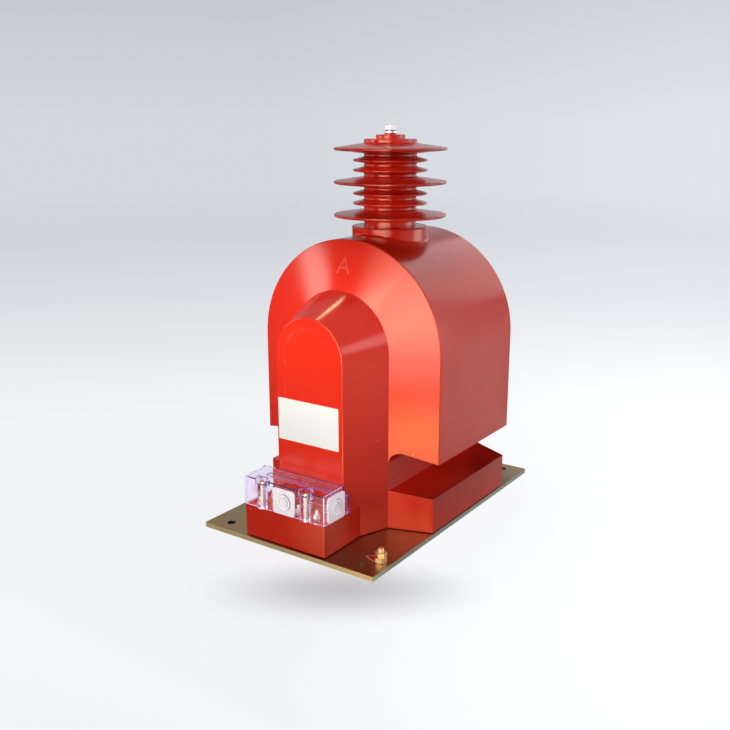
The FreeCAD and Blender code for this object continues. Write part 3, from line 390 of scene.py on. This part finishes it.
def makeZincPlate():
    look = plateLook
    material, tree, shader = newMaterial("yellowZinc")
    clouds = placeGroup(tree, surfaceWaves, **look["clouds"])
    roseClouds = placeGroup(tree, surfaceWaves, **look["roseClouds"])
    fine, cross = (placeGroup(tree, scratches, **form)["Mask"] for form in look["scratches"])
    axes = splitPlace(tree)[1]
    gold = mapRange(tree, clouds["Patches"], *look["goldPatches"], 0, 1)
    rose = mapRange(tree, roseClouds["Patches"], *look["rosePatches"], 0, look["roseShare"])
    right = mapRange(tree, axes["X"], *look["trayShadeAcross"], 0, 1)
    ahead = mapRange(tree, axes["Y"], *look["trayShadeAlong"], 1, 0)
    # painted shade and painted red reflection: the plate is darker and browner beside the tray
    corner = useMath(tree, "MULTIPLY", right, ahead)  # browner beside the tray
    marks = useMath(tree, "MAXIMUM", fine, cross)
    rim, hole, side = makePlateEdges(tree, axes)
    color = mixColors(tree, gold, look["olive"], look["gold"])
    color = mixColors(tree, rose, color, look["rose"])
    color = mixColors(tree, corner, color, look["trayShadeColor"])
    shade = useMath(tree, "MULTIPLY", marks, look["scratchShade"])
    color = mixColors(tree, shade, color, look["scratchColor"])
    # painted shade: the holes' walls are darkened as if in shadow
    color = mixColors(tree, hole, color, look["holeShadeColor"])
    # painted light: front edges take the lighter gold, sideways edges the darker tone
    edge = mixColors(tree, side, look["litFrontEdge"], look["sideEdge"])
    tree.links.new(mixColors(tree, rim, color, edge), shader.inputs["Base Color"])
    metallic = mapRange(tree, rim, 0, 1, 1, look["edgeMetallic"])
    tree.links.new(metallic, shader.inputs["Metallic"])
    smooth = look["roughness"]
    rough = mapRange(
        tree, clouds["Height"], *look["roughWaves"], smooth, smooth + look["roughnessSpread"],
    )
    cut = useMath(tree, "MULTIPLY", rim, look["edgeRoughness"])
    tree.links.new(useMath(tree, "MAXIMUM", rough, cut), shader.inputs["Roughness"])
    height = useMath(tree, "SUBTRACT", clouds["Height"], marks)
    addBump(tree, shader, height, look["waveStrength"], look["waveDepth"])
    return material


metalLook = {
    "waves": {"WaveScale": 60, "GrainScale": 900, "GrainShare": 0.3},
    "marks": {"Pitch": 0.5 * mm, "Unevenness": 0.8},
    "markStrength": 0.3,
    "markDepth": 0.01 * mm,
    "roughnessSpread": 0.12,
}


def makeMetal(name, color, roughness):
    look = metalLook
    material, tree, shader = newMaterial(name)
    shader.inputs["Base Color"].default_value = (*color, 1)
    shader.inputs["Metallic"].default_value = 1
    marks = placeGroup(tree, toolMarks, **look["marks"])
    waves = placeGroup(tree, surfaceWaves, **look["waves"])
    rough = patchyRoughness(tree, waves, roughness, look["roughnessSpread"])
    tree.links.new(rough, shader.inputs["Roughness"])
    addBump(tree, shader, marks["Height"], look["markStrength"], look["markDepth"])
    return material


coverLook = {
    "color": (0.98, 0.975, 1.0),
    "edgeColor": (0.30, 0.12, 0.90),
    "paintedEdgeGlow": (0.36, 0.24, 0.95),
    "glowStrength": 0.55,
    "edgeReach": 1.3 * mm,
    "edgeTurn": (0.88, 0.99),
    "density": 6,
    "ior": 1.49,
    "roughness": 0.02,
    "waves": {"WaveScale": 40, "GrainScale": 600, "GrainShare": 0.02},
    "waveStrength": 0.12,
    "waveDepth": 0.15 * mm,
}


def makeClearPlastic():
    # clear plastic with a painted violet glow along its edges, emission standing for light
    # carried through the plastic
    look = coverLook
    material, tree, shader = newMaterial("clearCover")
    shader.inputs["Base Color"].default_value = (*look["color"], 1)
    shader.inputs["Roughness"].default_value = look["roughness"]
    shader.inputs["IOR"].default_value = look["ior"]
    shader.inputs["Transmission Weight"].default_value = 1
    waves = placeGroup(tree, surfaceWaves, **look["waves"])
    addBump(tree, shader, waves["Height"], look["waveStrength"], look["waveDepth"])
    surface = addNode(tree, "ShaderNodeNewGeometry")
    along = useVector(
        tree, "DOT_PRODUCT", roundedNormal(tree, look["edgeReach"]), surface.outputs["Normal"],
    )
    turned = mapRange(tree, useMath(tree, "ABSOLUTE", along), *look["edgeTurn"], 1, 0)
    glow = mixColors(tree, turned, (0.0, 0.0, 0.0), look["paintedEdgeGlow"])
    # painted glow along the edges
    tree.links.new(glow, shader.inputs["Emission Color"])
    shader.inputs["Emission Strength"].default_value = look["glowStrength"]
    violet = addNode(tree, "ShaderNodeVolumeAbsorption")
    violet.inputs["Color"].default_value = (*look["edgeColor"], 1)
    violet.inputs["Density"].default_value = look["density"]
    tree.links.new(violet.outputs["Volume"], tree.nodes["Material Output"].inputs["Volume"])
    return material


plainLook = {
    "grainScale": 700,
    "darkShare": 0.9,
    "waveStrength": 0.3,
    "waveDepth": 0.05 * mm,
}


def makePlain(name, color, roughness, metallic=0.0, waveScale=30, grain=0.2):
    look = plainLook
    material, tree, shader = newMaterial(name)
    waves = placeGroup(
        tree, surfaceWaves, WaveScale=waveScale, GrainScale=look["grainScale"], GrainShare=grain,
    )
    darker = tuple(channel * look["darkShare"] for channel in color)
    patchy = mixColors(tree, waves["Patches"], darker, color)
    tree.links.new(patchy, shader.inputs["Base Color"])
    shader.inputs["Roughness"].default_value = roughness
    shader.inputs["Metallic"].default_value = metallic
    addBump(tree, shader, waves["Height"], look["waveStrength"], look["waveDepth"])
    return material


plugLook = {
    "color": (0.95, 0.92, 0.97),
    "ringShadowColor": (0.06, 0.04, 0.09),
    "roughness": 0.32,
    # painted glow: emission standing for light shining through the milky plastic
    "glow": (0.95, 0.90, 1.0),
    "glowStrength": 0.28,
    "height": 84 * mm,
    "frontPlace": -1 * mm,
    "sidePlace": -230 * mm,
    "coverFront": -258 * mm,
    "rings": (13.6 * mm, 8.2 * mm),
    "ringWidth": 2.2 * mm,
    "shadeLean": 0.5,
    "shadeReach": 9 * mm,
    "shadeLow": 0.25,
    "waves": {"WaveScale": 30, "GrainScale": 700, "GrainShare": 0.2},
    "waveStrength": 0.3,
    "waveDepth": 0.05 * mm,
}


def makePlug():
    # milky membrane plug with painted shadow at the feet of its raised rings, strongest towards
    # its right and top
    look = plugLook
    material, tree, shader = newMaterial("frostedPlug")
    axes = splitPlace(tree)[1]
    front = useMath(tree, "LESS_THAN", axes["Y"], look["coverFront"])
    acrossSide = useMath(tree, "SUBTRACT", axes["Y"], look["sidePlace"])
    acrossFront = useMath(tree, "SUBTRACT", axes["X"], look["frontPlace"])
    across = mixColors(tree, front, acrossSide, acrossFront)
    up = useMath(tree, "SUBTRACT", axes["Z"], look["height"])
    away = planeDistance(tree, across, up)
    # the painted shadow leans to one side of each ring
    lean = useMath(tree, "ADD", across, useMath(tree, "MULTIPLY", up, look["shadeLean"]))
    shade = mapRange(tree, lean, 0, look["shadeReach"], look["shadeLow"], 1)
    color = look["color"]
    for radius in look["rings"]:
        foot = mapRange(tree, distanceTo(tree, away, radius), 0, look["ringWidth"], 1, 0)
        color = mixColors(tree, useMath(tree, "MULTIPLY", foot, shade), color, look["ringShadowColor"])
    tree.links.new(color, shader.inputs["Base Color"])
    shader.inputs["Roughness"].default_value = look["roughness"]
    # painted glow, not a lamp
    shader.inputs["Emission Color"].default_value = (*look["glow"], 1)
    shader.inputs["Emission Strength"].default_value = look["glowStrength"]
    waves = placeGroup(tree, surfaceWaves, **look["waves"])
    addBump(tree, shader, waves["Height"], look["waveStrength"], look["waveDepth"])
    return material


metals = {
    "turnedBrass": ((0.80, 0.58, 0.24), 0.22),
    "rosyBrass": ((0.95, 0.72, 0.45), 0.34),
    "paleBrass": ((0.92, 0.84, 0.62), 0.20),
    "brightNickel": ((0.94, 0.91, 0.90), 0.26),
    "platedSteel": ((0.94, 0.90, 0.93), 0.32),
    "springSteel": ((0.20, 0.20, 0.21), 0.35),
}
plains = {
    "blankNameplate": {
        "color": (0.94, 0.99, 1.0), "roughness": 0.35, "waveScale": 12, "grain": 0.05,
    },
    "coreSteel": {"color": (0.30, 0.31, 0.33), "roughness": 0.45, "metallic": 0.9},
    "bandSteel": {"color": (0.55, 0.55, 0.56), "roughness": 0.35, "metallic": 1},
    "formerBoard": {"color": (0.52, 0.36, 0.18), "roughness": 0.6},
    "enamelledWire": {"color": (0.42, 0.13, 0.04), "roughness": 0.4, "metallic": 0.5},
    "bareCopper": {"color": (0.75, 0.36, 0.20), "roughness": 0.3, "metallic": 1},
    "leadSleeving": {"color": (0.03, 0.03, 0.035), "roughness": 0.5},
}
dressed = {
    "castResin": ["resin_body"],
    "yellowZinc": ["base_plate"],
    "platedSteel": ["hv_washer", "hv_bolt"],
    "springSteel": ["hv_spring_washer"],
    "brightNickel": [
        "terminal_studs", "terminal_lower_nuts", "terminal_washers", "terminal_upper_nuts",
    ],
    "turnedBrass": ["hv_insert", "cover_inserts", "body_inserts"],
    "paleBrass": ["cover_screws"],
    "rosyBrass": ["earth_stud", "earth_lock_nut", "earth_clamp_nut"],
    "clearCover": ["terminal_cover"],
    "frostedPlug": ["cable_entry_plugs"],
    "blankNameplate": ["nameplate"],
    "bandSteel": ["body_screws", "core_band"],
    "coreSteel": ["core_front_half", "core_rear_half"],
    "formerBoard": ["coil_former"],
    "enamelledWire": ["measuring_coil", "metering_coil", "residual_coil", "primary_coil"],
    "bareCopper": ["primary_shield", "hv_lead"],
    "leadSleeving": ["secondary_leads"],
}

finishes = {"castResin": makeResin(), "yellowZinc": makeZincPlate()}
for name, (color, roughness) in metals.items():
    finishes[name] = makeMetal(name, color, roughness)
finishes["clearCover"] = makeClearPlastic()
finishes["frostedPlug"] = makePlug()
for name, look in plains.items():
    finishes[name] = makePlain(name, **look)
for finish, names in dressed.items():
    for name in names:
        slots = parts[name].data.materials
        slots.clear()
        slots.append(finishes[finish])
parts["terminal_cover"].visible_shadow = False  # its shadow would be far too dark
print("materials placed")


# Threads on the studs

threadForm = {
    "stepsRound": 32,
    "stepsPerPitch": 8,
    "depthShare": 0.61,
    "chamferShare": 0.7,
}


def addThread(points, faces, centre, low, high, radius, pitch):
    # one rod with a pointed end; its points follow a wave that climbs one pitch a turn
    form = threadForm
    around = form["stepsRound"]
    rows = int((high - low) / pitch * form["stepsPerPitch"])
    depth = pitch * form["depthShare"]
    first = len(points)
    for row in range(rows + 1):
        z = low + (high - low) * row / rows
        taper = max(0.0, z - (high - pitch * form["chamferShare"]))
        for step in range(around):
            angle = 2 * pi * step / around
            phase = (z / pitch - step / around) % 1
            groove = depth * (1 - abs(phase * 2 - 1))
            reach = min(radius - groove, radius - taper)
            points.append((centre[0] + reach * cos(angle), centre[1] + reach * sin(angle), z))
    for row in range(rows):
        for step in range(around):
            a = first + row * around + step
            b = first + row * around + (step + 1) % around
            faces.append((a, b, b + around, a + around))
    faces.append(tuple(first + rows * around + step for step in range(around)))
    faces.append(tuple(first + step for step in reversed(range(around))))


def makePiece(name, points, faces, material):
    mesh = bpy.data.meshes.new(name)
    mesh.from_pydata(points, [], faces)
    mesh.materials.append(material)
    piece = bpy.data.objects.new(name, mesh)
    bpy.context.scene.collection.objects.link(piece)
    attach(piece, "root")
    return piece


def solidCentres(name, reach):
    # middles of the separate upright solids in one node, found from points within reach
    spots = [Vector(vertex.co[:2]) for vertex in parts[name].data.vertices]
    seeds = []
    for spot in spots:
        if all((spot - seed).length > reach for seed in seeds):
            seeds.append(spot)
    centres = []
    for seed in seeds:
        near = [spot for spot in spots if (spot - seed).length < reach]
        lows, highs = (list(map(pick, *near)) for pick in (min, max))
        centres.append(tuple((low + high) / 2 for low, high in zip(lows, highs)))
    return centres


earthThread = {"pitch": 1.5 * mm}
terminalThread = {
    "pitch": 1.0 * mm,
    "radius": 3 * mm,
    "collarHeight": 16 * mm,
    "nutReach": 18 * mm,
}


def addEarthThread():
    low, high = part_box("earth_stud")
    centre = ((low.x + high.x) / 2, (low.y + high.y) / 2)
    points, faces = [], []
    radius = (high.x - low.x) / 2
    addThread(points, faces, centre, low.z, high.z, radius, earthThread["pitch"])
    piece = makePiece("earthStudThread", points, faces, finishes["rosyBrass"])
    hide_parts("earth_stud")


def addTerminalThreads():
    form = terminalThread
    low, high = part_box("terminal_studs")
    start = low.z + form["collarHeight"]
    points, faces = [], []
    for centre in solidCentres("terminal_upper_nuts", form["nutReach"]):
        addThread(points, faces, centre, start, high.z, form["radius"], form["pitch"])
    piece = makePiece("terminalThreads", points, faces, finishes["brightNickel"])
    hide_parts("terminal_studs")


addEarthThread()
addTerminalThreads()
print("threads made")


# Marks on the casting and the plate

letterMark = {
    "text": "A",
    "height": 27 * mm,
    "sizeShare": 1.45,
    "middle": (2 * mm, 435 * mm),
    "proud": 1.1 * mm,
    "bevel": 0.15 * mm,
    # painted highlight: the letter is a lighter red than the body, standing for the light its
    # raised strokes catch
    "color": (0.84, 0.065, 0.04),
    "roughness": 0.3,
    "axisHeight": 301 * mm,
    "innerRadius": 96.5 * mm,
    "innerPlace": -112 * mm,
    "outerRadius": 176 * mm,
    "outerPlace": -86 * mm,
}


def addLetter():
    # the high-voltage end's letter, raised in the mould on the sloping front of the winding
    form = letterMark
    x, z = form["middle"]
    deep = form["outerPlace"] - form["innerPlace"]
    slope = Vector((0, deep, form["outerRadius"] - form["innerRadius"]))
    slope.normalize()
    out = Vector((0, -slope.z, slope.y))
    rise = z - form["axisHeight"] - form["innerRadius"]
    place = Vector((x, form["innerPlace"] + slope.y / slope.z * rise, z))
    curve = bpy.data.curves.new("letterMark", "FONT")
    curve.body = form["text"]
    curve.size = form["height"] * form["sizeShare"]
    curve.align_x, curve.align_y = "CENTER", "CENTER"
    curve.extrude = form["proud"]
    curve.bevel_depth = form["bevel"]
    letter = bpy.data.objects.new("letterMark", curve)
    bpy.context.scene.collection.objects.link(letter)
    letter.matrix_world = Matrix.Translation(place) @ Matrix((
        (1, slope.x, out.x, 0), (0, slope.y, out.y, 0), (0, slope.z, out.z, 0), (0, 0, 0, 1)
    ))
    # this material carries the letter's painted highlight
    letter.data.materials.append(makePlain("letterHighlightResin", form["color"], form["roughness"]))
    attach(letter, "root")


earthMark = {
    "tip": (121.5 * mm, -214.5 * mm),
    "length": 31 * mm,
    "halfWidth": 10.5 * mm,
    "turn": radians(8),
    "thickness": 0.15 * mm,
    "layer": 0.05 * mm,
    "border": 1.3 * mm,
    "tipInset": 1.6,
    "color": (0.70, 0.015, 0.02),
    "roughness": 0.35,
    "borderColor": (0.82, 0.72, 0.62),
    "borderRoughness": 0.4,
}


def dropOutline(length, halfWidth, steps=20):
    # a rounded drop: a point at the tip, a half circle at the far end
    centre = length - halfWidth
    start = pi / 2 + asin(halfWidth / centre)
    outline = [(0.0, 0.0)]
    for step in range(steps + 1):
        angle = -start + 2 * start * step / steps
        outline.append((centre + halfWidth * cos(angle), halfWidth * sin(angle)))
    return outline


def addDrop(name, inset, lift, material):
    form = earthMark
    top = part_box("base_plate")[1].z
    shorter = inset * (form["tipInset"] + 1)
    outline = dropOutline(form["length"] - shorter, form["halfWidth"] - inset)
    spin = Matrix.Rotation(form["turn"], 2)
    points = []
    for level in (top - form["layer"], top + form["thickness"] + lift):
        for along, across in outline:
            spot = spin @ Vector((along + inset * form["tipInset"], across))
            points.append((form["tip"][0] + spot.x, form["tip"][1] + spot.y, level))
    count = len(outline)
    faces = [tuple(range(count, 2 * count)), tuple(reversed(range(count)))]
    for n in range(count):
        after = (n + 1) % count
        faces.append((n, after, after + count, n + count))
    makePiece(name, points, faces, material)


def addEarthMark():
    form = earthMark
    pale = makePlain("markBorder", form["borderColor"], form["borderRoughness"])
    red = makePlain("markRed", form["color"], form["roughness"])
    addDrop("earthMarkBorder", 0.0, 0.0, pale)
    addDrop("earthMark", form["border"], form["layer"], red)


addLetter()
addEarthMark()
print("marks made")


# Studio

backdrop = {
    "horizonColor": (0.66, 0.69, 0.725),
    "topColor": (0.555, 0.59, 0.625),
    "topRise": 0.13,
    "viewSide": (0.824, 0.566, 0),
    "sideTurn": (-0.1, 0.33),
    "sideShare": (0.99, 1.13),
    "mirrorWay": (0.5, 0.87, 0),
    "mirrorTurn": (-0.3, 0.5),
    "mirrorFront": (0.07, 0.07, 0.08),
    "mirrorBack": (0.54, 0.57, 0.62),
    "mirrorTop": (0.48, 0.48, 0.52),
    "mirrorRise": (0.3, 0.8),
    "ambientColor": (0.96, 0.97, 1.0),
    "ambientLevel": 0.10,
}


def shownRays(tree):
    # 1 for rays straight to the camera or through clear parts
    path = addNode(tree, "ShaderNodeLightPath").outputs
    return path, useMath(tree, "MAXIMUM", path["Is Camera Ray"], path["Is Transmission Ray"])


def sideShare(tree, direction):
    # the backdrop grows lighter from left to right of the picture
    form = backdrop
    across = useVector(tree, "DOT_PRODUCT", direction, form["viewSide"])
    return mapRange(tree, across, *form["sideTurn"], *form["sideShare"])


def scaleColor(tree, color, share):
    scaled = addNode(tree, "ShaderNodeVectorMath", operation="SCALE")
    tree.links.new(color, scaled.inputs[0])
    tree.links.new(share, scaled.inputs["Scale"])
    return scaled.outputs["Vector"]


def makeWorld():
    # one colour for the camera, one for mirrors, and a plain level that lights the object
    form = backdrop
    world = bpy.data.worlds.new("studio")
    bpy.context.scene.world = world
    world.use_nodes = True
    tree = world.node_tree
    way = addNode(tree, "ShaderNodeTexCoord").outputs["Generated"]
    split = addNode(tree, "ShaderNodeSeparateXYZ")
    tree.links.new(way, split.inputs["Vector"])
    up = split.outputs["Z"]
    path, shown = shownRays(tree)
    rise = mapRange(tree, up, 0.0, form["topRise"], 0, 1)
    seen = mixColors(tree, rise, form["horizonColor"], form["topColor"])
    seen = scaleColor(tree, seen, sideShare(tree, way))
    toBack = useVector(tree, "DOT_PRODUCT", way, form["mirrorWay"])
    behind = mapRange(tree, toBack, *form["mirrorTurn"], 0, 1)
    mirrored = mixColors(tree, behind, form["mirrorFront"], form["mirrorBack"])
    high = mapRange(tree, up, *form["mirrorRise"], 0, 1)
    mirrored = mixColors(tree, high, mirrored, form["mirrorTop"])
    ambient = tuple(channel * form["ambientLevel"] for channel in form["ambientColor"])
    color = mixColors(tree, path["Is Glossy Ray"], ambient, mirrored)
    color = mixColors(tree, shown, color, seen)
    tree.links.new(color, tree.nodes["Background"].inputs["Color"])


floorLook = {
    "color": (0.25, 0.25, 0.25),
    "roughness": 0.9,
    "specular": 0.1,
    "radius": 8.0,
    "sides": 96,
    "drop": 0.2 * mm,
    "fade": (4.5, 7.5),
    "viewFoot": (0.848, -1.272, 0),
    "rampLength": 10,
    # brightness by distance from below the camera, as shares of the ramp's length
    "ramp": [
        (0.09, (0.79, 0.81, 0.83)),
        (0.15, (0.80, 0.82, 0.84)),
        (0.21, (0.80, 0.82, 0.835)),
        (0.27, (0.72, 0.74, 0.755)),
        (0.36, (0.665, 0.69, 0.72)),
        (0.56, (0.60, 0.63, 0.665)),
        (0.90, (0.58, 0.61, 0.65)),
    ],
    # painted reflection: the floor's brightness seen only in mirrors
    "mirrorTurn": (-0.1, 0.6),
    "mirrorLevel": (0.02, 0.66),
    # a hot patch seen only in mirrors: a painted highlight on the lower right of the winding's
    # front
    "glintPlace": (0.23, -0.58, 0),
    "glintReach": (0.095, 0.38),
    "glintColor": (6.4, 4.7, 2.3),
}
shadowPool = {
    "middle": (0.148, -0.306, 0),
    "turn": radians(34.5),
    "reach": (0.24, 0.11, 1),
    "depth": 0.45,
}


def makePool(tree, place):
    # soft contact shadow below the plate's near corner
    form = shadowPool
    turn = addNode(tree, "ShaderNodeVectorRotate", rotation_type="Z_AXIS")
    turn.inputs["Angle"].default_value = -form["turn"]
    tree.links.new(useVector(tree, "SUBTRACT", place, form["middle"]), turn.inputs["Vector"])
    shrunk = useVector(tree, "DIVIDE", turn.outputs["Vector"], form["reach"])
    away = useVector(tree, "LENGTH", shrunk)
    return mapRange(tree, away, 0, 1, 1 - form["depth"], 1, interpolation_type="SMOOTHSTEP")


def makeFloorRamp(tree, place):
    form = floorLook
    ramp = addNode(tree, "ShaderNodeValToRGB")
    stops = ramp.color_ramp.elements
    while len(stops) < len(form["ramp"]):
        stops.new(0.5)
    for stop, (where, color) in zip(stops, form["ramp"]):
        stop.position = where
        stop.color = (*color, 1)
    walk = useVector(tree, "DISTANCE", place, form["viewFoot"])
    share = useMath(tree, "MULTIPLY", walk, 1 / form["rampLength"])
    tree.links.new(share, ramp.inputs["Fac"])
    return ramp.outputs["Color"]


def makeFloorGlow(tree, place):
    # what the floor shows to the camera and in mirrors, apart from the light that falls on it;
    # in mirrors it is painted reflection, dark ahead and light behind, with a hot warm patch in
    # front that lays a painted highlight on the winding's front
    form = floorLook
    path, shown = shownRays(tree)
    leave = useVector(tree, "SUBTRACT", place, form["viewFoot"])
    course = useVector(tree, "NORMALIZE", leave)
    share = useMath(tree, "MULTIPLY", makePool(tree, place), sideShare(tree, course))
    toBack = useVector(tree, "DOT_PRODUCT", place, backdrop["mirrorWay"])
    mirrored = mapRange(tree, toBack, *form["mirrorTurn"], *form["mirrorLevel"])
    off = useVector(tree, "DISTANCE", place, form["glintPlace"])
    glintPatch = mapRange(tree, off, *form["glintReach"], 1, 0)
    mirrored = mixColors(tree, glintPatch, mirrored, form["glintColor"])
    seen = scaleColor(tree, makeFloorRamp(tree, place), share)
    glow = addNode(tree, "ShaderNodeEmission")
    tree.links.new(mixColors(tree, shown, mirrored, seen), glow.inputs["Color"])
    strength = useMath(tree, "MAXIMUM", shown, path["Is Glossy Ray"])
    tree.links.new(strength, glow.inputs["Strength"])
    return glow.outputs[0]


def makeFloor():
    form = floorLook
    material, tree, shader = newMaterial("paleFloor")
    shader.inputs["Base Color"].default_value = (*form["color"], 1)
    shader.inputs["Roughness"].default_value = form["roughness"]
    shader.inputs["Specular IOR Level"].default_value = form["specular"]
    place = addNode(tree, "ShaderNodeTexCoord").outputs["Object"]
    lit = addNode(tree, "ShaderNodeAddShader")
    tree.links.new(shader.outputs[0], lit.inputs[0])
    tree.links.new(makeFloorGlow(tree, place), lit.inputs[1])
    fade = mapRange(tree, useVector(tree, "LENGTH", place), *form["fade"], 0, 1)
    clear = addNode(tree, "ShaderNodeBsdfTransparent")
    blend = addNode(tree, "ShaderNodeMixShader")
    for socket, source in zip(blend.inputs, (fade, lit.outputs[0], clear.outputs[0])):
        tree.links.new(source, socket)
    tree.links.new(blend.outputs[0], tree.nodes["Material Output"].inputs["Surface"])
    bpy.ops.mesh.primitive_circle_add(
        vertices=form["sides"], radius=form["radius"], fill_type="NGON",
    )
    floor = bpy.context.object
    floor.name = "studioFloor"
    floor.location.z = -form["drop"]
    floor.data.materials.append(material)


softLights = {
    "key": {
        "place": (0.13, -0.97, 0.49), "target": (0.05, -0.10, 0.42), "size": 1.02,
        "power": 3.7, "spread": 75, "color": (1, 0.94, 0.84),
    },
    "leftFront": {
        "place": (-1.27, -1.02, 0.71), "target": (0, -0.10, 0.40), "size": 0.44,
        "power": 3.1, "color": (0.96, 0.97, 1),
    },
    "rightBand": {
        "place": (1.50, 0.15, 0.72), "target": (0.08, -0.15, 0.33), "size": 0.42,
        "power": 1.4, "color": (0.86, 0.80, 1),
    },
    "rightFill": {
        "place": (1.64, 1.13, 0.54), "target": (0.10, 0.05, 0.28), "size": 1.1,
        "power": 11.5, "color": (1, 0.94, 0.98),
    },
    "backTop": {
        "place": (0.30, 1.35, 1.12), "target": (0.15, 0.02, 0.38), "size": 1.1,
        "power": 3.5, "color": (1, 0.95, 0.96),
    },
    "fanLight": {
        "place": (-0.11, -0.80, 0.55), "target": (0.05, -0.10, 0.33), "size": 0.17,
        "power": 0.38, "color": (1, 0.92, 0.84),
    },
    "shedLight": {
        "place": (0.48, -1.05, 1.16), "target": (0, 0, 0.56), "size": 0.25,
        "power": 0.13, "spread": 28, "color": (1, 0.96, 0.90),
    },
    "viewLight": {
        "place": (0.78, -1.16, 0.44), "target": (0, -0.05, 0.52), "size": 0.10,
        "power": 0.35, "color": (1, 0.97, 0.95),
    },
    "ceiling": {
        "place": (-0.57, 0.52, 1.94), "target": (0.02, -0.15, 0.38), "size": 0.13,
        "power": 1.3, "color": (1, 0.82, 0.50),
    },
    "leftFill": {
        "place": (-2.0, -0.1, 0.9), "target": (0, 0, 0.30), "size": 1.0,
        "power": 3.5, "color": (0.97, 0.98, 1),
    },
}


def addSoftLight(name, place, target, size, power, color, spread=180):
    lamp = bpy.data.lights.new(name, "AREA")
    lamp.shape = "SQUARE"
    lamp.size = size
    lamp.energy = power
    lamp.spread = radians(spread)
    lamp.color = color
    light = bpy.data.objects.new(name, lamp)
    bpy.context.scene.collection.objects.link(light)
    light.location = place
    toLamp = Vector(place) - Vector(target)
    light.rotation_euler = toLamp.to_track_quat("Z", "Y").to_euler()
    light.visible_camera = False


# dark cards before the lamps, from corner to corner: they dim the foot, the bushing and
# the pedestal's top, which also mirrors the rear card
lampCards = {
    "lowFlag": {"low": (-0.7, -0.62, 0.05), "high": (0.26, -0.62, 0.155)},
    "highFlag": {"low": (-0.26, -0.30, 0.505), "high": (0.34, -0.30, 0.68)},
    "sideFlag": {"low": (0.447, -0.03, 0.49), "high": (0.28, 0.21, 0.80)},
    "frontVisor": {"low": (0.13, -0.20, 0.110), "high": (0.26, -0.127, 0.110)},
    "sideVisor": {"low": (0.18, -0.127, 0.124), "high": (0.33, 0.24, 0.124)},
    "rearCard": {"low": (-0.25, 0.33, 0.09), "high": (0.25, 0.33, 0.28), "mirrored": True},
}
cardLook = {"color": (0.02, 0.02, 0.02), "roughness": 0.9}


def addCard(name, material, low, high, mirrored=False):
    isLevel = low[2] == high[2]
    right = (high[0], low[1] if isLevel else high[1], low[2])
    left = (low[0], high[1] if isLevel else low[1], high[2])
    mesh = bpy.data.meshes.new(name)
    mesh.from_pydata([low, right, high, left], [], [(0, 1, 2, 3)])
    mesh.materials.append(material)
    card = bpy.data.objects.new(name, mesh)
    bpy.context.scene.collection.objects.link(card)
    card.visible_camera = False
    card.visible_glossy = mirrored
    card.visible_transmission = False


cameraView = {
    "place": (0.8482, -1.2718, 0.6558),
    "turn": (75.10, 0, 34.51),
    "focalPixels": 906.2,
    "pictureWidth": 730,
    "sensorWidth": 36,
}


def addCamera():
    form = cameraView
    data = bpy.data.cameras.new("photoCamera")
    data.sensor_width = form["sensorWidth"]
    data.lens = form["focalPixels"] / form["pictureWidth"] * form["sensorWidth"]
    camera = bpy.data.objects.new("photoCamera", data)
    camera.location = form["place"]
    camera.rotation_euler = [radians(angle) for angle in form["turn"]]
    bpy.context.scene.collection.objects.link(camera)
    bpy.context.scene.camera = camera


makeWorld()
makeFloor()
for name, settings in softLights.items():
    addSoftLight(name, **settings)
blackCard = makePlain("blackCard", **cardLook)
for name, settings in lampCards.items():
    addCard(name, blackCard, **settings)
addCamera()
bpy.context.scene.view_settings.view_transform = "Standard"
print("studio made")

bpy.context.view_layer.update()
